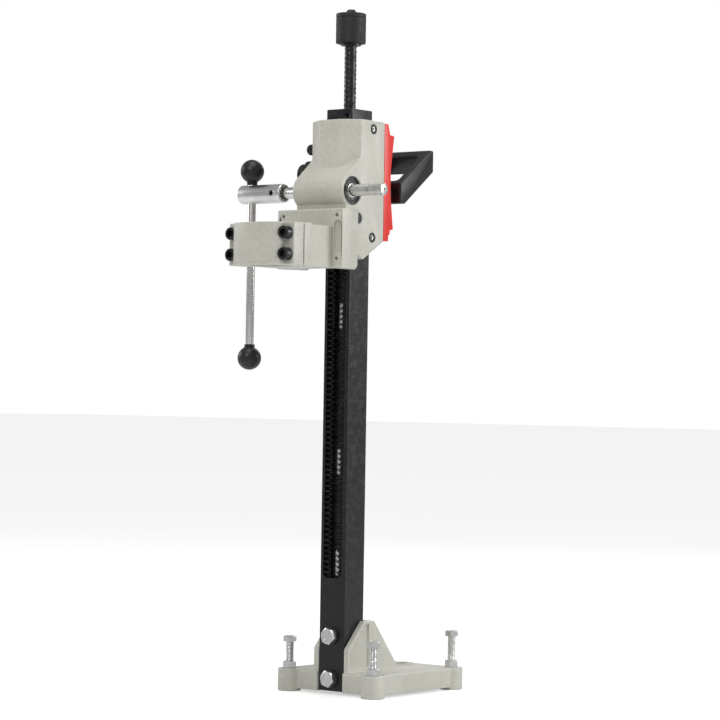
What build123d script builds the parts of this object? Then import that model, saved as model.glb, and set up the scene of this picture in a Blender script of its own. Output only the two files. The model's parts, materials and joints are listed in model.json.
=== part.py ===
from build123d import *
import math
import os

os.makedirs("parts", exist_ok=True)

# Core drill rig: a square column on a cast base, a carriage that climbs a rack let into the
# column's front face, a clamping collar for the drill and a ceiling jack on top.
# Millimetres. +Z up, the drill hangs on the -Y side, the hand lever is on the -X side.
# The origin is on the floor, on the column's axis. The carriage stands at the top of its travel.

# ---------------------------------------------------------------- driving dimensions
# Column
column_width = 46.0
column_wall = 5.0
column_corner = 2.0
column_bottom = 5.0
column_top = 836.0

# Rack let into the column's front face
rack_module = 2.5
rack_addendum = 2.0
rack_dedendum = 2.6
rack_half_width = 17.0
rack_groove_half = 7.5
rack_groove_depth = 9.0
rack_floor = 3.0
rack_recess = 1.0
rack_bottom = 169.0
rack_end_round = 8.0
plug_length = 37.0
plug_width = 6.6
plug_heights = (191.0, 338.0, 551.0)
plug_sink = 0.8

# Base casting
foot_height = 4.0
base_top = 33.0
base_skin = 8.0
base_wall = 9.0
base_half_width = 88.0
base_front = -26.0
base_back = 175.0
level_half_spacing = 78.0
level_front = -23.0
level_back = 166.0
level_boss_radius = 17.0
cheek_outer = 32.7
cheek_front_top = 67.0
cheek_apex = 106.0
cheek_apex_front = 13.0
cheek_apex_length = 24.0
cheek_heel = 97.0
cheek_recess = 3.6
cheek_rim = 5.0
seat_clearance = 0.3
seat_web = 18.0
anchor_slot_width = 18.0
anchor_slot_length = 64.0
anchor_slot_centre = 124.0
anchor_pad = 2.0
base_round = 3.0

# Column bolts
column_bolt_radius = 7.0
column_bolt_flats = 22.0
column_bolt_head = 9.0
column_bolt_heights = (23.0, 85.0)
column_washer_radius = 13.0
column_washer_thickness = 1.6

# Levelling screws
level_screw_radius = 6.0
level_screw_flats = 18.0
level_head = 8.0
level_nut = 10.0
level_tops = {"front_left": 80.0, "front_right": 82.0, "rear_right": 87.0, "rear_left": 86.0}
level_tip = 6.0

# Column cap and ceiling jack
cap_width = 48.0
cap_height = 16.3
cap_plug = 12.0
jack_radius = 9.0
jack_below_cap = 120.0
jack_foot_base = 950.0
jack_foot_radius = 22.0
jack_foot_height = 44.0
jack_tip_radius = 9.0
jack_tip_height = 5.7
jack_ring_radius = 15.0
jack_ring_height = 3.0
jack_socket = 20.0

# Carriage casting
carriage_half = 46.0
carriage_wall = 8.0
carriage_top = 835.0
carriage_back = 26.0
carriage_back_bottom = 660.0
channel_clearance = 0.6
nose_front = -46.8
nose_half = 18.3
nose_shoulder = -29.0
roof_top = 779.5
apron_half = 50.0
apron_front = -88.0
apron_top = 702.0
apron_bottom = 616.5
apron_ledge = -62.7
flank_back = -38.0
flank_chamfer = 5.0
heel_front = -20.5
heel_rise = 15.5
heel_notch = 24.0
ear_back = -67.0
ear_outer = 60.5
ear_hole_radius = 2.5
ear_hole_depth = 18.0
ear_hole_half_spacing = 49.5
ear_hole_heights = (630.6, 692.4)
ear_channel_inner = 44.5
ear_channel_outer = 58.5
ear_channel_length = 47.0
ear_channel_depth = 5.0

# Hand shaft and reduction gear
shaft_y = -48.7
shaft_z = 730.2
shaft_radius = 8.5
shaft_seat_radius = 10.0
shaft_plus_end = 105.0
shaft_minus_end = -131.0
housing_radius = 24.5
housing_bore = 19.0
bearing_radius = 21.0
bearing_width = 8.0
bearing_inset = 2.0
bearing_ring = 3.5
bearing_ball = 2.4
bearing_ball_count = 9
circlip_thickness = 1.5
circlip_depth = 1.4
hand_teeth = 14
wheel_teeth = 28
wheel_module = 2.0
gear_width = 8.0
gear_inner = 27.6
rack_pinion_teeth = 10
counter_radius = 7.8

# Lever
hub_radius = 14.0
hub_outer_end = -162.0
hub_inner_end = -80.5
hub_counterbore = 11.0
lever_x = -144.0
lever_radius = 6.0
lever_bottom = 488.0
lever_top = 764.7
ball_radius = 17.5
ball_neck_radius = 7.6

# Guides
guide_heights = (664.8, 822.6)
guide_pad_length = 24.0
guide_pad_width = 20.0
guide_pad_thickness = 4.0
guide_screw_radius = 4.0
guide_ring_radius = 7.0
guide_ring_height = 4.0

# Collar
collar_y = -172.0
collar_z = 646.5
collar_height = 60.0
collar_bore = 30.0
collar_gap = 2.0
collar_flange_half = 60.0
collar_flange_depth = 22.0
collar_back_flange = 16.0
collar_block_half = 44.0
collar_crown = 44.0
neck_half = 43.5
collar_bolt_radius = 6.0
collar_bolt_head_radius = 9.0
collar_bolt_head = 12.0
collar_bolt_half_spacing = 49.0
collar_bolt_rise = 15.0
mount_bolt_radius = 5.0
mount_bolt_head_radius = 8.0
mount_bolt_head = 10.0
mount_bolt_half_spacing = 26.0
mount_bolt_rise = 17.0

# Rear bridge, cover and carrying handle
bridge_thickness = 8.0
bridge_half = 43.0
bridge_bottom = 666.0
bridge_top = 811.0
bridge_bolt_radius = 4.0
bridge_bolt_half_spacing = 34.0
bridge_bolt_heights = (690.0, 800.0)
cover_bottom = 661.5
cover_top = 833.0
cover_depth = 23.0
cover_waist = 16.0
cover_waist_bottom = 730.0
cover_waist_top = 768.0
cover_lip = 12.0
cover_lip_step = 17.5
cover_brow = 8.0
cover_brow_step = 16.5
cover_wall = 2.5
handle_half = 46.0
handle_bar = 12.0
handle_front_bar = 18.0
handle_rear_bar = 16.0
handle_front = 65.7
handle_low = 719.0
handle_bar_height = 30.0
handle_back = 145.8
handle_high = 802.6
handle_post_radius = 11.0
handle_post_half_spacing = 18.0
handle_bolt_radius = 4.0

# Carriage lock and side screw
lock_y = -8.0
lock_z = 760.0
lock_stud_radius = 5.0
lock_knob_radius = 20.0
lock_knob_inner = 50.0
lock_knob_step = 68.0
lock_knob_outer = 80.0
lock_pad_radius = 9.0
side_screw_y = -20.0
side_screw_z = 795.0
side_screw_head = 8.0

# Clearances
running = 0.05
gear_backlash = 0.35
mesh_gap = 0.05

# ---------------------------------------------------------------- derived places
column_half = column_width / 2
rack_tip_y = -column_half + rack_recess
rack_pitch_y = rack_tip_y + rack_addendum
rack_root_y = rack_pitch_y + rack_dedendum
rack_groove_y = rack_tip_y + rack_groove_depth
rack_back_y = rack_groove_y + rack_floor
rack_pitch = math.pi * rack_module
rack_pinion_radius = rack_module * rack_pinion_teeth / 2
hand_radius = wheel_module * hand_teeth / 2
wheel_radius = wheel_module * wheel_teeth / 2
wheel_addendum = 0.8 * wheel_module
gear_centres = hand_radius + wheel_radius + mesh_gap
counter_y = rack_pitch_y - rack_pinion_radius - mesh_gap
counter_z = shaft_z - math.sqrt(gear_centres**2 - (counter_y - shaft_y) ** 2)
gear_line = math.degrees(math.atan2(shaft_z - counter_z, shaft_y - counter_y))
level_points = {
    "front_left": (-level_half_spacing, level_front),
    "front_right": (level_half_spacing, level_front),
    "rear_right": (level_half_spacing, level_back),
    "rear_left": (-level_half_spacing, level_back),
}
seat_half = column_half + seat_clearance
channel_half = column_half + channel_clearance
collar_bottom = collar_z - collar_height / 2
bridge_back = carriage_back + bridge_thickness


def gear_points(teeth, module, addendum, dedendum, turn):
    """Points round a spur gear with one tooth centred at the angle turn, in degrees."""
    pressure = math.radians(20)
    pitch_radius = module * teeth / 2
    base_radius = pitch_radius * math.cos(pressure)
    tip_radius = pitch_radius + addendum
    root_radius = pitch_radius - dedendum
    half_tooth = math.pi / (2 * teeth) - gear_backlash / (2 * pitch_radius)
    half_base = half_tooth + math.tan(pressure) - pressure
    flank_start = max(base_radius, root_radius)
    flank = []
    for step in range(5):
        radius = flank_start + (tip_radius - flank_start) * step / 4
        roll = math.acos(base_radius / radius)
        flank.append((radius, half_base - (math.tan(roll) - roll)))
    relieved = half_base - 0.5 / root_radius
    side = [(root_radius, relieved)] + flank
    points = []
    for tooth in range(teeth):
        centre = math.radians(turn) + 2 * math.pi * tooth / teeth
        for radius, half in side:
            points.append((radius * math.cos(centre - half), radius * math.sin(centre - half)))
        for radius, half in reversed(side):
            points.append((radius * math.cos(centre + half), radius * math.sin(centre + half)))
    return points


def across_x(y, z, start):
    """Plane facing +X at x = start, with its local x along +Y and local y along +Z."""
    return Plane(origin=(start, y, z), x_dir=(0, 1, 0), z_dir=(1, 0, 0))


def facing_front(x, y, z):
    """Plane facing -Y, with its local x along +X and local y along +Z."""
    return Plane(origin=(x, y, z), x_dir=(1, 0, 0), z_dir=(0, -1, 0))


# ---------------------------------------------------------------- column and rack
column_inner = column_width - 2 * column_wall
with BuildPart() as column_tube:
    with BuildSketch(Plane.XY.offset(column_bottom)):
        RectangleRounded(column_width, column_width, column_corner)
        Rectangle(column_inner, column_inner, mode=Mode.SUBTRACT)
    extrude(amount=column_top - column_bottom)
    with BuildSketch(facing_front(0, -column_half, rack_bottom)) as window:
        Rectangle(2 * rack_half_width, 2 * column_top, align=(Align.CENTER, Align.MIN))
        fillet(window.vertices().group_by(Axis.Z)[0], radius=rack_end_round)
    extrude(amount=-column_wall, mode=Mode.SUBTRACT)
    with BuildSketch(facing_front(0, -column_half, 0)):
        with Locations([(0, height) for height in column_bolt_heights]):
            Circle(column_bolt_radius + running)
    extrude(amount=-column_width, mode=Mode.SUBTRACT)
column_tube.part.label = "column_tube"
export_step(column_tube.part, "parts/column_tube.step")

flank_lean = math.tan(math.radians(20))
tooth_tip_half = rack_pitch / 4 - gear_backlash / 2 - rack_addendum * flank_lean
tooth_root_half = rack_pitch / 4 - gear_backlash / 2 + rack_dedendum * flank_lean
first_tooth = math.ceil((rack_bottom + tooth_root_half - counter_z) / rack_pitch - 0.5)
last_tooth = math.floor((column_top - tooth_root_half - counter_z) / rack_pitch - 0.5)
rack_line = [(rack_back_y, column_top), (rack_back_y, rack_bottom), (rack_root_y, rack_bottom)]
for tooth in range(first_tooth, last_tooth + 1):
    middle = counter_z + (tooth + 0.5) * rack_pitch
    rack_line.append((rack_root_y, middle - tooth_root_half))
    rack_line.append((rack_tip_y, middle - tooth_tip_half))
    rack_line.append((rack_tip_y, middle + tooth_tip_half))
    rack_line.append((rack_root_y, middle + tooth_root_half))
rack_line.append((rack_root_y, column_top))
with BuildPart() as feed_rack:
    with BuildSketch(across_x(0, 0, -rack_half_width)):
        with BuildLine():
            Polyline(rack_line, close=True)
        make_face()
    extrude(amount=2 * rack_half_width)
    with BuildSketch(facing_front(0, rack_groove_y, rack_bottom)):
        Rectangle(2 * rack_groove_half, 2 * column_top, align=(Align.CENTER, Align.MIN))
    extrude(amount=rack_groove_depth, mode=Mode.SUBTRACT)
    with BuildSketch(facing_front(0, rack_groove_y, rack_bottom)) as end_shape:
        Rectangle(2 * rack_half_width, 2 * column_top, align=(Align.CENTER, Align.MIN))
        fillet(end_shape.vertices().group_by(Axis.Z)[0], radius=rack_end_round)
    extrude(amount=column_width, both=True, mode=Mode.INTERSECT)
    with BuildSketch(facing_front(0, rack_groove_y, 0)):
        with Locations([(0, height) for height in plug_heights]):
            SlotOverall(plug_length, plug_width, rotation=90)
    extrude(amount=-rack_floor, mode=Mode.SUBTRACT)
feed_rack.part.label = "feed_rack"
export_step(feed_rack.part, "parts/feed_rack.step")

with BuildPart() as rack_plugs:
    with BuildSketch(facing_front(0, rack_groove_y + plug_sink, 0)):
        with Locations([(0, height) for height in plug_heights]):
            SlotOverall(plug_length, plug_width, rotation=90)
    extrude(amount=plug_sink - rack_floor)
rack_plugs.part.label = "rack_plugs"
export_step(rack_plugs.part, "parts/rack_plugs.step")

# ---------------------------------------------------------------- base casting
base_length = base_back - base_front
base_middle = (base_back + base_front) / 2
cheek_outline = [
    (-column_half, foot_height),
    (-column_half, cheek_front_top),
    (cheek_apex_front, cheek_apex),
    (cheek_apex_front + cheek_apex_length, cheek_apex),
    (cheek_heel, base_top),
    (cheek_heel, foot_height),
]
recess_outline = [
    (-column_half + cheek_rim, base_top + cheek_rim),
    (-column_half + cheek_rim, cheek_front_top - cheek_rim / 2),
    (cheek_apex_front + cheek_rim / 2, cheek_apex - cheek_rim),
    (cheek_apex_front + cheek_apex_length / 2, cheek_apex - cheek_rim),
    (cheek_apex_front + cheek_apex_length / 2, base_top + cheek_rim),
]
heel_back = column_half + seat_clearance + seat_web
with BuildPart() as base_casting:
    with BuildSketch(Plane.XY.offset(foot_height)):
        with Locations((0, base_middle)):
            Rectangle(2 * base_half_width, base_length)
        with Locations(list(level_points.values())):
            Circle(level_boss_radius)
    extrude(amount=base_top - foot_height)
    with BuildSketch(Plane.XY):
        with Locations(list(level_points.values())):
            Circle(level_boss_radius)
    extrude(amount=foot_height)
    fillet(base_casting.edges().filter_by(GeomType.LINE).group_by(Axis.Z)[-1], radius=base_round)
    with BuildSketch(across_x(0, 0, -cheek_outer)):
        with BuildLine():
            Polyline(cheek_outline, close=True)
        make_face()
    extrude(amount=2 * cheek_outer)
    with BuildSketch(Plane.XY.offset(foot_height)):
        with Locations((0, base_middle)):
            Rectangle(2 * (base_half_width - base_wall), base_length - 2 * base_wall)
        with Locations(list(level_points.values())):
            Circle(level_boss_radius, mode=Mode.SUBTRACT)
        Rectangle(2 * cheek_outer, 2 * (heel_back + base_wall), mode=Mode.SUBTRACT)
        with Locations((0, anchor_slot_centre)):
            SlotOverall(
                anchor_slot_length + 2 * base_wall,
                anchor_slot_width + 2 * base_wall,
                rotation=90,
                mode=Mode.SUBTRACT,
            )
    extrude(amount=base_top - base_skin - foot_height, mode=Mode.SUBTRACT)
    # The hollow between the cheeks, behind the web that carries the column bolts.
    with BuildSketch(Plane.XY.offset(base_top)):
        with Locations((0, heel_back)):
            Rectangle(2 * seat_half, base_length, align=(Align.CENTER, Align.MIN))
    extrude(amount=cheek_apex, mode=Mode.SUBTRACT)
    with BuildSketch(Plane.XY.offset(base_top)):
        with Locations((0, anchor_slot_centre)):
            SlotOverall(anchor_slot_length + 2 * base_wall, anchor_slot_width + 2 * base_wall, rotation=90)
    extrude(amount=anchor_pad)
    with BuildSketch(Plane.XY):
        with Locations((0, anchor_slot_centre)):
            SlotOverall(anchor_slot_length, anchor_slot_width, rotation=90)
    extrude(amount=base_top + anchor_pad, mode=Mode.SUBTRACT)
    # The seat that takes the column, open to the front.
    with BuildSketch(Plane.XY):
        with Locations((0, column_half + seat_clearance)):
            Rectangle(2 * seat_half, base_length, align=(Align.CENTER, Align.MAX))
    extrude(amount=cheek_apex, mode=Mode.SUBTRACT)
    for side in (-1, 1):
        with BuildSketch(across_x(0, 0, side * cheek_outer)):
            with BuildLine():
                Polyline(recess_outline, close=True)
            make_face()
        extrude(amount=-side * cheek_recess, mode=Mode.SUBTRACT)
    with BuildSketch(Plane.XY):
        with Locations(list(level_points.values())):
            Circle(level_screw_radius + running)
    extrude(amount=base_top, mode=Mode.SUBTRACT)
    with BuildSketch(facing_front(0, column_half, 0)):
        with Locations([(0, height) for height in column_bolt_heights]):
            Circle(column_bolt_radius + running)
    extrude(amount=-(seat_web + seat_clearance), mode=Mode.SUBTRACT)
base_casting.part.label = "base_casting"
export_step(base_casting.part, "parts/base_casting.step")

bolt_reach = column_width + seat_clearance + seat_web - 2.0
with BuildPart() as column_bolts:
    with BuildSketch(facing_front(0, -column_half - column_washer_thickness, 0)):
        with Locations([(0, height) for height in column_bolt_heights]):
            RegularPolygon(column_bolt_flats / 2, 6, major_radius=False, rotation=15)
    extrude(amount=column_bolt_head)
    chamfer(column_bolts.faces().sort_by(Axis.Y)[0:2].edges(), length=0.9)
    with BuildSketch(facing_front(0, -column_half - column_washer_thickness, 0)):
        with Locations([(0, height) for height in column_bolt_heights]):
            Circle(column_bolt_radius)
    extrude(amount=-bolt_reach)
column_bolts.part.label = "column_bolts"
export_step(column_bolts.part, "parts/column_bolts.step")

with BuildPart() as column_washers:
    with BuildSketch(facing_front(0, -column_half, 0)):
        with Locations([(0, height) for height in column_bolt_heights]):
            Circle(column_washer_radius)
            Circle(column_bolt_radius + running, mode=Mode.SUBTRACT)
    extrude(amount=column_washer_thickness)
column_washers.part.label = "column_washers"
export_step(column_washers.part, "parts/column_washers.step")

with BuildPart() as level_nuts:
    with BuildSketch(Plane.XY.offset(base_top)):
        with Locations(list(level_points.values())):
            RegularPolygon(level_screw_flats / 2, 6, major_radius=False)
            Circle(level_screw_radius + running, mode=Mode.SUBTRACT)
    extrude(amount=level_nut)
    chamfer(level_nuts.faces().group_by(Axis.Z)[-1].edges().filter_by(GeomType.LINE), length=1.0)
level_nuts.part.label = "level_nuts"
export_step(level_nuts.part, "parts/level_nuts.step")

for corner, (x, y) in level_points.items():
    head_top = level_tops[corner]
    with BuildPart() as level_screw:
        with BuildSketch(Plane.XY.offset(head_top - level_head)):
            with Locations((x, y)):
                RegularPolygon(level_screw_flats / 2, 6, major_radius=False)
        extrude(amount=level_head)
        chamfer(level_screw.faces().sort_by(Axis.Z)[-1].edges(), length=1.0)
        with BuildSketch(Plane.XY.offset(level_tip)):
            with Locations((x, y)):
                Circle(level_screw_radius)
        extrude(amount=head_top - level_head - level_tip)
        chamfer(level_screw.faces().sort_by(Axis.Z)[0].edges(), length=1.2)
    level_screw.part.label = "level_screw_" + corner
    export_step(level_screw.part, "parts/level_screw_" + corner + ".step")

# ---------------------------------------------------------------- column cap and ceiling jack
cap_screw_x = 15.0
cap_screw_z = column_top + 6.7
cap_screw_radius = 4.5
cap_screw_length = 8.0
with BuildPart() as column_cap:
    with BuildSketch(Plane.XY.offset(column_top)):
        RectangleRounded(cap_width, cap_width, column_corner)
    extrude(amount=cap_height)
    chamfer(column_cap.faces().sort_by(Axis.Z)[-1].edges(), length=1.2)
    plug_side = column_inner - 2 * running
    plug_front = rack_back_y + channel_clearance
    bore_mouth = jack_radius + running
    with BuildSketch(Plane.XY.offset(column_top - cap_plug)):
        with Locations((0, plug_side / 2)):
            Rectangle(plug_side, plug_side / 2 - plug_front, align=(Align.CENTER, Align.MAX))
    extrude(amount=cap_plug)
    with BuildSketch(Plane.XY.offset(column_top - cap_plug)):
        Circle(bore_mouth)
        with Locations((0, plug_front)):
            Rectangle(bore_mouth, bore_mouth, align=(Align.CENTER, Align.MIN))
    extrude(amount=cap_plug, mode=Mode.SUBTRACT)
    with BuildSketch(Plane.XY.offset(column_top)):
        Circle(bore_mouth)
    extrude(amount=cap_height, mode=Mode.SUBTRACT)
    with BuildSketch(facing_front(cap_screw_x, -cap_width / 2, cap_screw_z)):
        Circle(cap_screw_radius + running)
    extrude(amount=-cap_screw_length, mode=Mode.SUBTRACT)
column_cap.part.label = "column_cap"
export_step(column_cap.part, "parts/column_cap.step")

with BuildPart() as cap_screw:
    with BuildSketch(facing_front(cap_screw_x, -cap_width / 2 + 1.0, cap_screw_z)):
        Circle(cap_screw_radius)
    extrude(amount=1.0 - cap_screw_length)
    with BuildSketch(facing_front(cap_screw_x, -cap_width / 2 + 1.0, cap_screw_z)):
        RegularPolygon(2.5, 6, major_radius=False)
    extrude(amount=-4.0, mode=Mode.SUBTRACT)
cap_screw.part.label = "cap_screw"
export_step(cap_screw.part, "parts/cap_screw.step")

foot_axis_top = jack_foot_base + jack_socket
with BuildPart() as jack_spindle:
    with BuildSketch(Plane.XY.offset(column_top - jack_below_cap)):
        Circle(jack_radius)
    extrude(amount=foot_axis_top - column_top + jack_below_cap)
    chamfer(jack_spindle.edges().filter_by(GeomType.CIRCLE), length=1.5)
jack_spindle.part.label = "jack_spindle"
export_step(jack_spindle.part, "parts/jack_spindle.step")

with BuildPart() as ceiling_foot:
    with BuildSketch(Plane.XY.offset(jack_foot_base)):
        Circle(jack_foot_radius)
    extrude(amount=jack_foot_height)
    fillet(ceiling_foot.edges().filter_by(GeomType.CIRCLE), radius=1.5)
    with BuildSketch(Plane.XY.offset(jack_foot_base + jack_foot_height)):
        Circle(jack_tip_radius)
    extrude(amount=jack_tip_height, taper=30)
    with BuildSketch(Plane.XY.offset(jack_foot_base)):
        Circle(jack_radius + running)
    extrude(amount=jack_socket + running, mode=Mode.SUBTRACT)
ceiling_foot.part.label = "ceiling_foot"
export_step(ceiling_foot.part, "parts/ceiling_foot.step")

with BuildPart() as foot_ring:
    with BuildSketch(Plane.XY.offset(jack_foot_base - jack_ring_height)):
        Circle(jack_ring_radius)
        Circle(jack_radius + running, mode=Mode.SUBTRACT)
    extrude(amount=jack_ring_height)
foot_ring.part.label = "foot_ring"
export_step(foot_ring.part, "parts/foot_ring.step")

# ---------------------------------------------------------------- carriage casting
roof_angle = math.radians(41)
tangent_y = shaft_y - housing_radius * math.sin(roof_angle)
tangent_z = shaft_z + housing_radius * math.cos(roof_angle)
side_outline = [
    (nose_shoulder, carriage_top),
    (carriage_back, carriage_top),
    (carriage_back, carriage_back_bottom),
    (heel_front, apron_bottom + heel_rise),
    (flank_back, apron_bottom + heel_notch),
    (flank_back, apron_top),
    (apron_ledge, apron_top),
    (apron_ledge, shaft_z),
    (tangent_y, tangent_z),
    (nose_shoulder, roof_top),
]
apron_outline = [
    (-apron_half, flank_back),
    (-apron_half, ear_back + ear_outer - apron_half),
    (-ear_outer, ear_back),
    (-ear_outer, apron_front),
    (ear_outer, apron_front),
    (ear_outer, ear_back),
    (apron_half, ear_back + ear_outer - apron_half),
    (apron_half, flank_back),
]
flank_corner = [
    (flank_back, apron_bottom),
    (flank_back - flank_chamfer, apron_bottom),
    (flank_back, apron_bottom + flank_chamfer),
]
nose_outline = [
    (-carriage_half, nose_shoulder),
    (-nose_half, nose_front),
    (nose_half, nose_front),
    (carriage_half, nose_shoulder),
]
cavity_half = carriage_half - carriage_wall
wheel_room = wheel_radius + wheel_addendum + 2.5
bearing_face = carriage_half - bearing_inset
with BuildPart() as carriage_casting:
    with BuildSketch(across_x(0, 0, -carriage_half)):
        with BuildLine():
            Polyline(side_outline, close=True)
        make_face()
    extrude(amount=2 * carriage_half)
    with BuildSketch(Plane.XY.offset(shaft_z)) as nose_plan:
        with BuildLine():
            Polyline(nose_outline, close=True)
        make_face()
    extrude(amount=carriage_top - shaft_z)
    with BuildSketch(Plane.XY.offset(apron_bottom)):
        with BuildLine():
            Polyline(apron_outline, close=True)
        make_face()
    extrude(amount=apron_top - apron_bottom)
    with BuildSketch(across_x(0, 0, -apron_half)):
        with BuildLine():
            Polyline(flank_corner, close=True)
        make_face()
    extrude(amount=2 * apron_half, mode=Mode.SUBTRACT)
    with BuildSketch(across_x(shaft_y, shaft_z, -carriage_half)):
        Circle(housing_radius)
    extrude(amount=2 * carriage_half)
    # Channel for the column, open to the back.
    with BuildSketch(Plane.XY.offset(apron_bottom)):
        with Locations((0, -channel_half)):
            Rectangle(2 * channel_half, 4 * channel_half, align=(Align.CENTER, Align.MIN))
    extrude(amount=carriage_top, mode=Mode.SUBTRACT)
    # Gear room: in front of the column, and beside it where the wheel turns.
    with BuildSketch(Plane.XY.offset(apron_bottom)):
        with Locations((0, -channel_half)):
            Rectangle(
                2 * cavity_half,
                -channel_half - apron_front - carriage_wall,
                align=(Align.CENTER, Align.MAX),
            )
    extrude(amount=apron_top - carriage_wall - apron_bottom, mode=Mode.SUBTRACT)
    with BuildSketch(across_x(counter_y, counter_z, -cavity_half)):
        Circle(wheel_room)
    extrude(amount=2 * cavity_half, mode=Mode.SUBTRACT)
    with BuildSketch(across_x(shaft_y, shaft_z, -carriage_half)):
        Circle(housing_bore)
    extrude(amount=2 * carriage_half, mode=Mode.SUBTRACT)
    # Hollow of the nose, open to the column.
    with BuildSketch(Plane.XY.offset(shaft_z)):
        with Locations((0, -channel_half)):
            Rectangle(
                2 * (nose_half - 4.0),
                -channel_half - nose_front - carriage_wall,
                align=(Align.CENTER, Align.MAX),
            )
    extrude(amount=carriage_top - carriage_wall - shaft_z, mode=Mode.SUBTRACT)
    for side in (-1, 1):
        # Bearing seat with its circlip groove, and the bore of the countershaft.
        with BuildSketch(across_x(shaft_y, shaft_z, side * carriage_half)):
            Circle(bearing_radius)
        extrude(amount=-side * (bearing_inset + bearing_width), mode=Mode.SUBTRACT)
        with BuildSketch(across_x(shaft_y, shaft_z, side * bearing_face)):
            Circle(bearing_radius + circlip_depth)
        extrude(amount=side * circlip_thickness, mode=Mode.SUBTRACT)
        with BuildSketch(across_x(counter_y, counter_z, side * carriage_half)):
            Circle(counter_radius + running)
        extrude(amount=-side * carriage_wall, mode=Mode.SUBTRACT)
        # Guide screws with their ring seats, and pockets for the pads.
        with BuildSketch(across_x(0, 0, side * carriage_half)):
            with Locations([(0, height) for height in guide_heights]):
                Circle(guide_screw_radius + running)
        extrude(amount=-side * (carriage_half - column_half), mode=Mode.SUBTRACT)
        with BuildSketch(across_x(0, 0, side * carriage_half)):
            with Locations([(0, height) for height in guide_heights]):
                Circle(guide_ring_radius + running)
        extrude(amount=-side * guide_ring_height, mode=Mode.SUBTRACT)
        with BuildSketch(across_x(0, 0, side * column_half)):
            with Locations([(0, height) for height in guide_heights]):
                Rectangle(guide_pad_width, guide_pad_length)
        extrude(amount=side * guide_pad_thickness, mode=Mode.SUBTRACT)
        # Ears: two tapped holes and a shallow channel between them.
        with BuildSketch(facing_front(side * ear_hole_half_spacing, apron_front, 0)):
            with Locations([(0, height) for height in ear_hole_heights]):
                Circle(ear_hole_radius)
        extrude(amount=-ear_hole_depth, mode=Mode.SUBTRACT)
        channel_x = side * (ear_channel_inner + ear_channel_outer) / 2
        channel_z = (ear_hole_heights[0] + ear_hole_heights[1]) / 2
        with BuildSketch(facing_front(channel_x, apron_front, channel_z)):
            SlotOverall(ear_channel_length, ear_channel_outer - ear_channel_inner, rotation=90)
        extrude(amount=-ear_channel_depth, mode=Mode.SUBTRACT)
    # Lock stud and side screw on the lever side.
    with BuildSketch(across_x(lock_y, lock_z, -carriage_half)):
        Circle(lock_stud_radius + running)
    extrude(amount=carriage_half - column_half, mode=Mode.SUBTRACT)
    with BuildSketch(across_x(lock_y, lock_z, -column_half)):
        Circle(lock_pad_radius + running)
    extrude(amount=-guide_pad_thickness, mode=Mode.SUBTRACT)
    with BuildSketch(across_x(side_screw_y, side_screw_z, -carriage_half)):
        Circle(lock_stud_radius)
    extrude(amount=14.0, mode=Mode.SUBTRACT)
    # Bolts that hold the collar, from inside the gear room.
    with BuildSketch(facing_front(0, apron_front, collar_z)):
        with GridLocations(2 * mount_bolt_half_spacing, 2 * mount_bolt_rise, 2, 2):
            Circle(mount_bolt_radius + running)
    extrude(amount=-carriage_wall, mode=Mode.SUBTRACT)
    # Tapped holes in the back for the bridge.
    with BuildSketch(facing_front(0, carriage_back, 0)):
        for height in bridge_bolt_heights:
            for side in (-1, 1):
                with Locations((side * bridge_bolt_half_spacing, height)):
                    Circle(bridge_bolt_radius)
    extrude(amount=20.0, mode=Mode.SUBTRACT)
carriage_casting.part.label = "carriage_casting"
export_step(carriage_casting.part, "parts/carriage_casting.step")

# ---------------------------------------------------------------- guides
with BuildPart() as guide_pads:
    for side in (-1, 1):
        with BuildSketch(across_x(0, 0, side * (column_half + running))):
            with Locations([(0, height) for height in guide_heights]):
                Rectangle(guide_pad_width - 2 * running, guide_pad_length - 2 * running)
        extrude(amount=side * (guide_pad_thickness - 2 * running))
guide_pads.part.label = "guide_pads"
export_step(guide_pads.part, "parts/guide_pads.step")

guide_screw_face = carriage_half - 1.0
guide_screw_length = guide_screw_face - column_half - guide_pad_thickness
with BuildPart() as guide_screws:
    for side in (-1, 1):
        with BuildSketch(across_x(0, 0, side * guide_screw_face)):
            with Locations([(0, height) for height in guide_heights]):
                Circle(guide_screw_radius)
        extrude(amount=-side * guide_screw_length)
        with BuildSketch(across_x(0, 0, side * guide_screw_face)):
            with Locations([(0, height) for height in guide_heights]):
                RegularPolygon(2.0, 6, major_radius=False)
        extrude(amount=-side * 4.0, mode=Mode.SUBTRACT)
guide_screws.part.label = "guide_screws"
export_step(guide_screws.part, "parts/guide_screws.step")

with BuildPart() as guide_rings:
    for side in (-1, 1):
        with BuildSketch(across_x(0, 0, side * (carriage_half - guide_ring_height))):
            with Locations([(0, height) for height in guide_heights]):
                Circle(guide_ring_radius)
                Circle(guide_screw_radius + running, mode=Mode.SUBTRACT)
        extrude(amount=side * guide_ring_height)
guide_rings.part.label = "guide_rings"
export_step(guide_rings.part, "parts/guide_rings.step")

with BuildPart() as rear_pads:
    with BuildSketch(facing_front(0, column_half + running, 0)):
        with Locations([(0, height + 6.0) for height in guide_heights[:1]] + [(0, guide_heights[1] - 6.0)]):
            Rectangle(guide_pad_width, guide_pad_length - 8.0)
    extrude(amount=-(carriage_back - column_half - running))
rear_pads.part.label = "rear_pads"
export_step(rear_pads.part, "parts/rear_pads.step")

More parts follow.
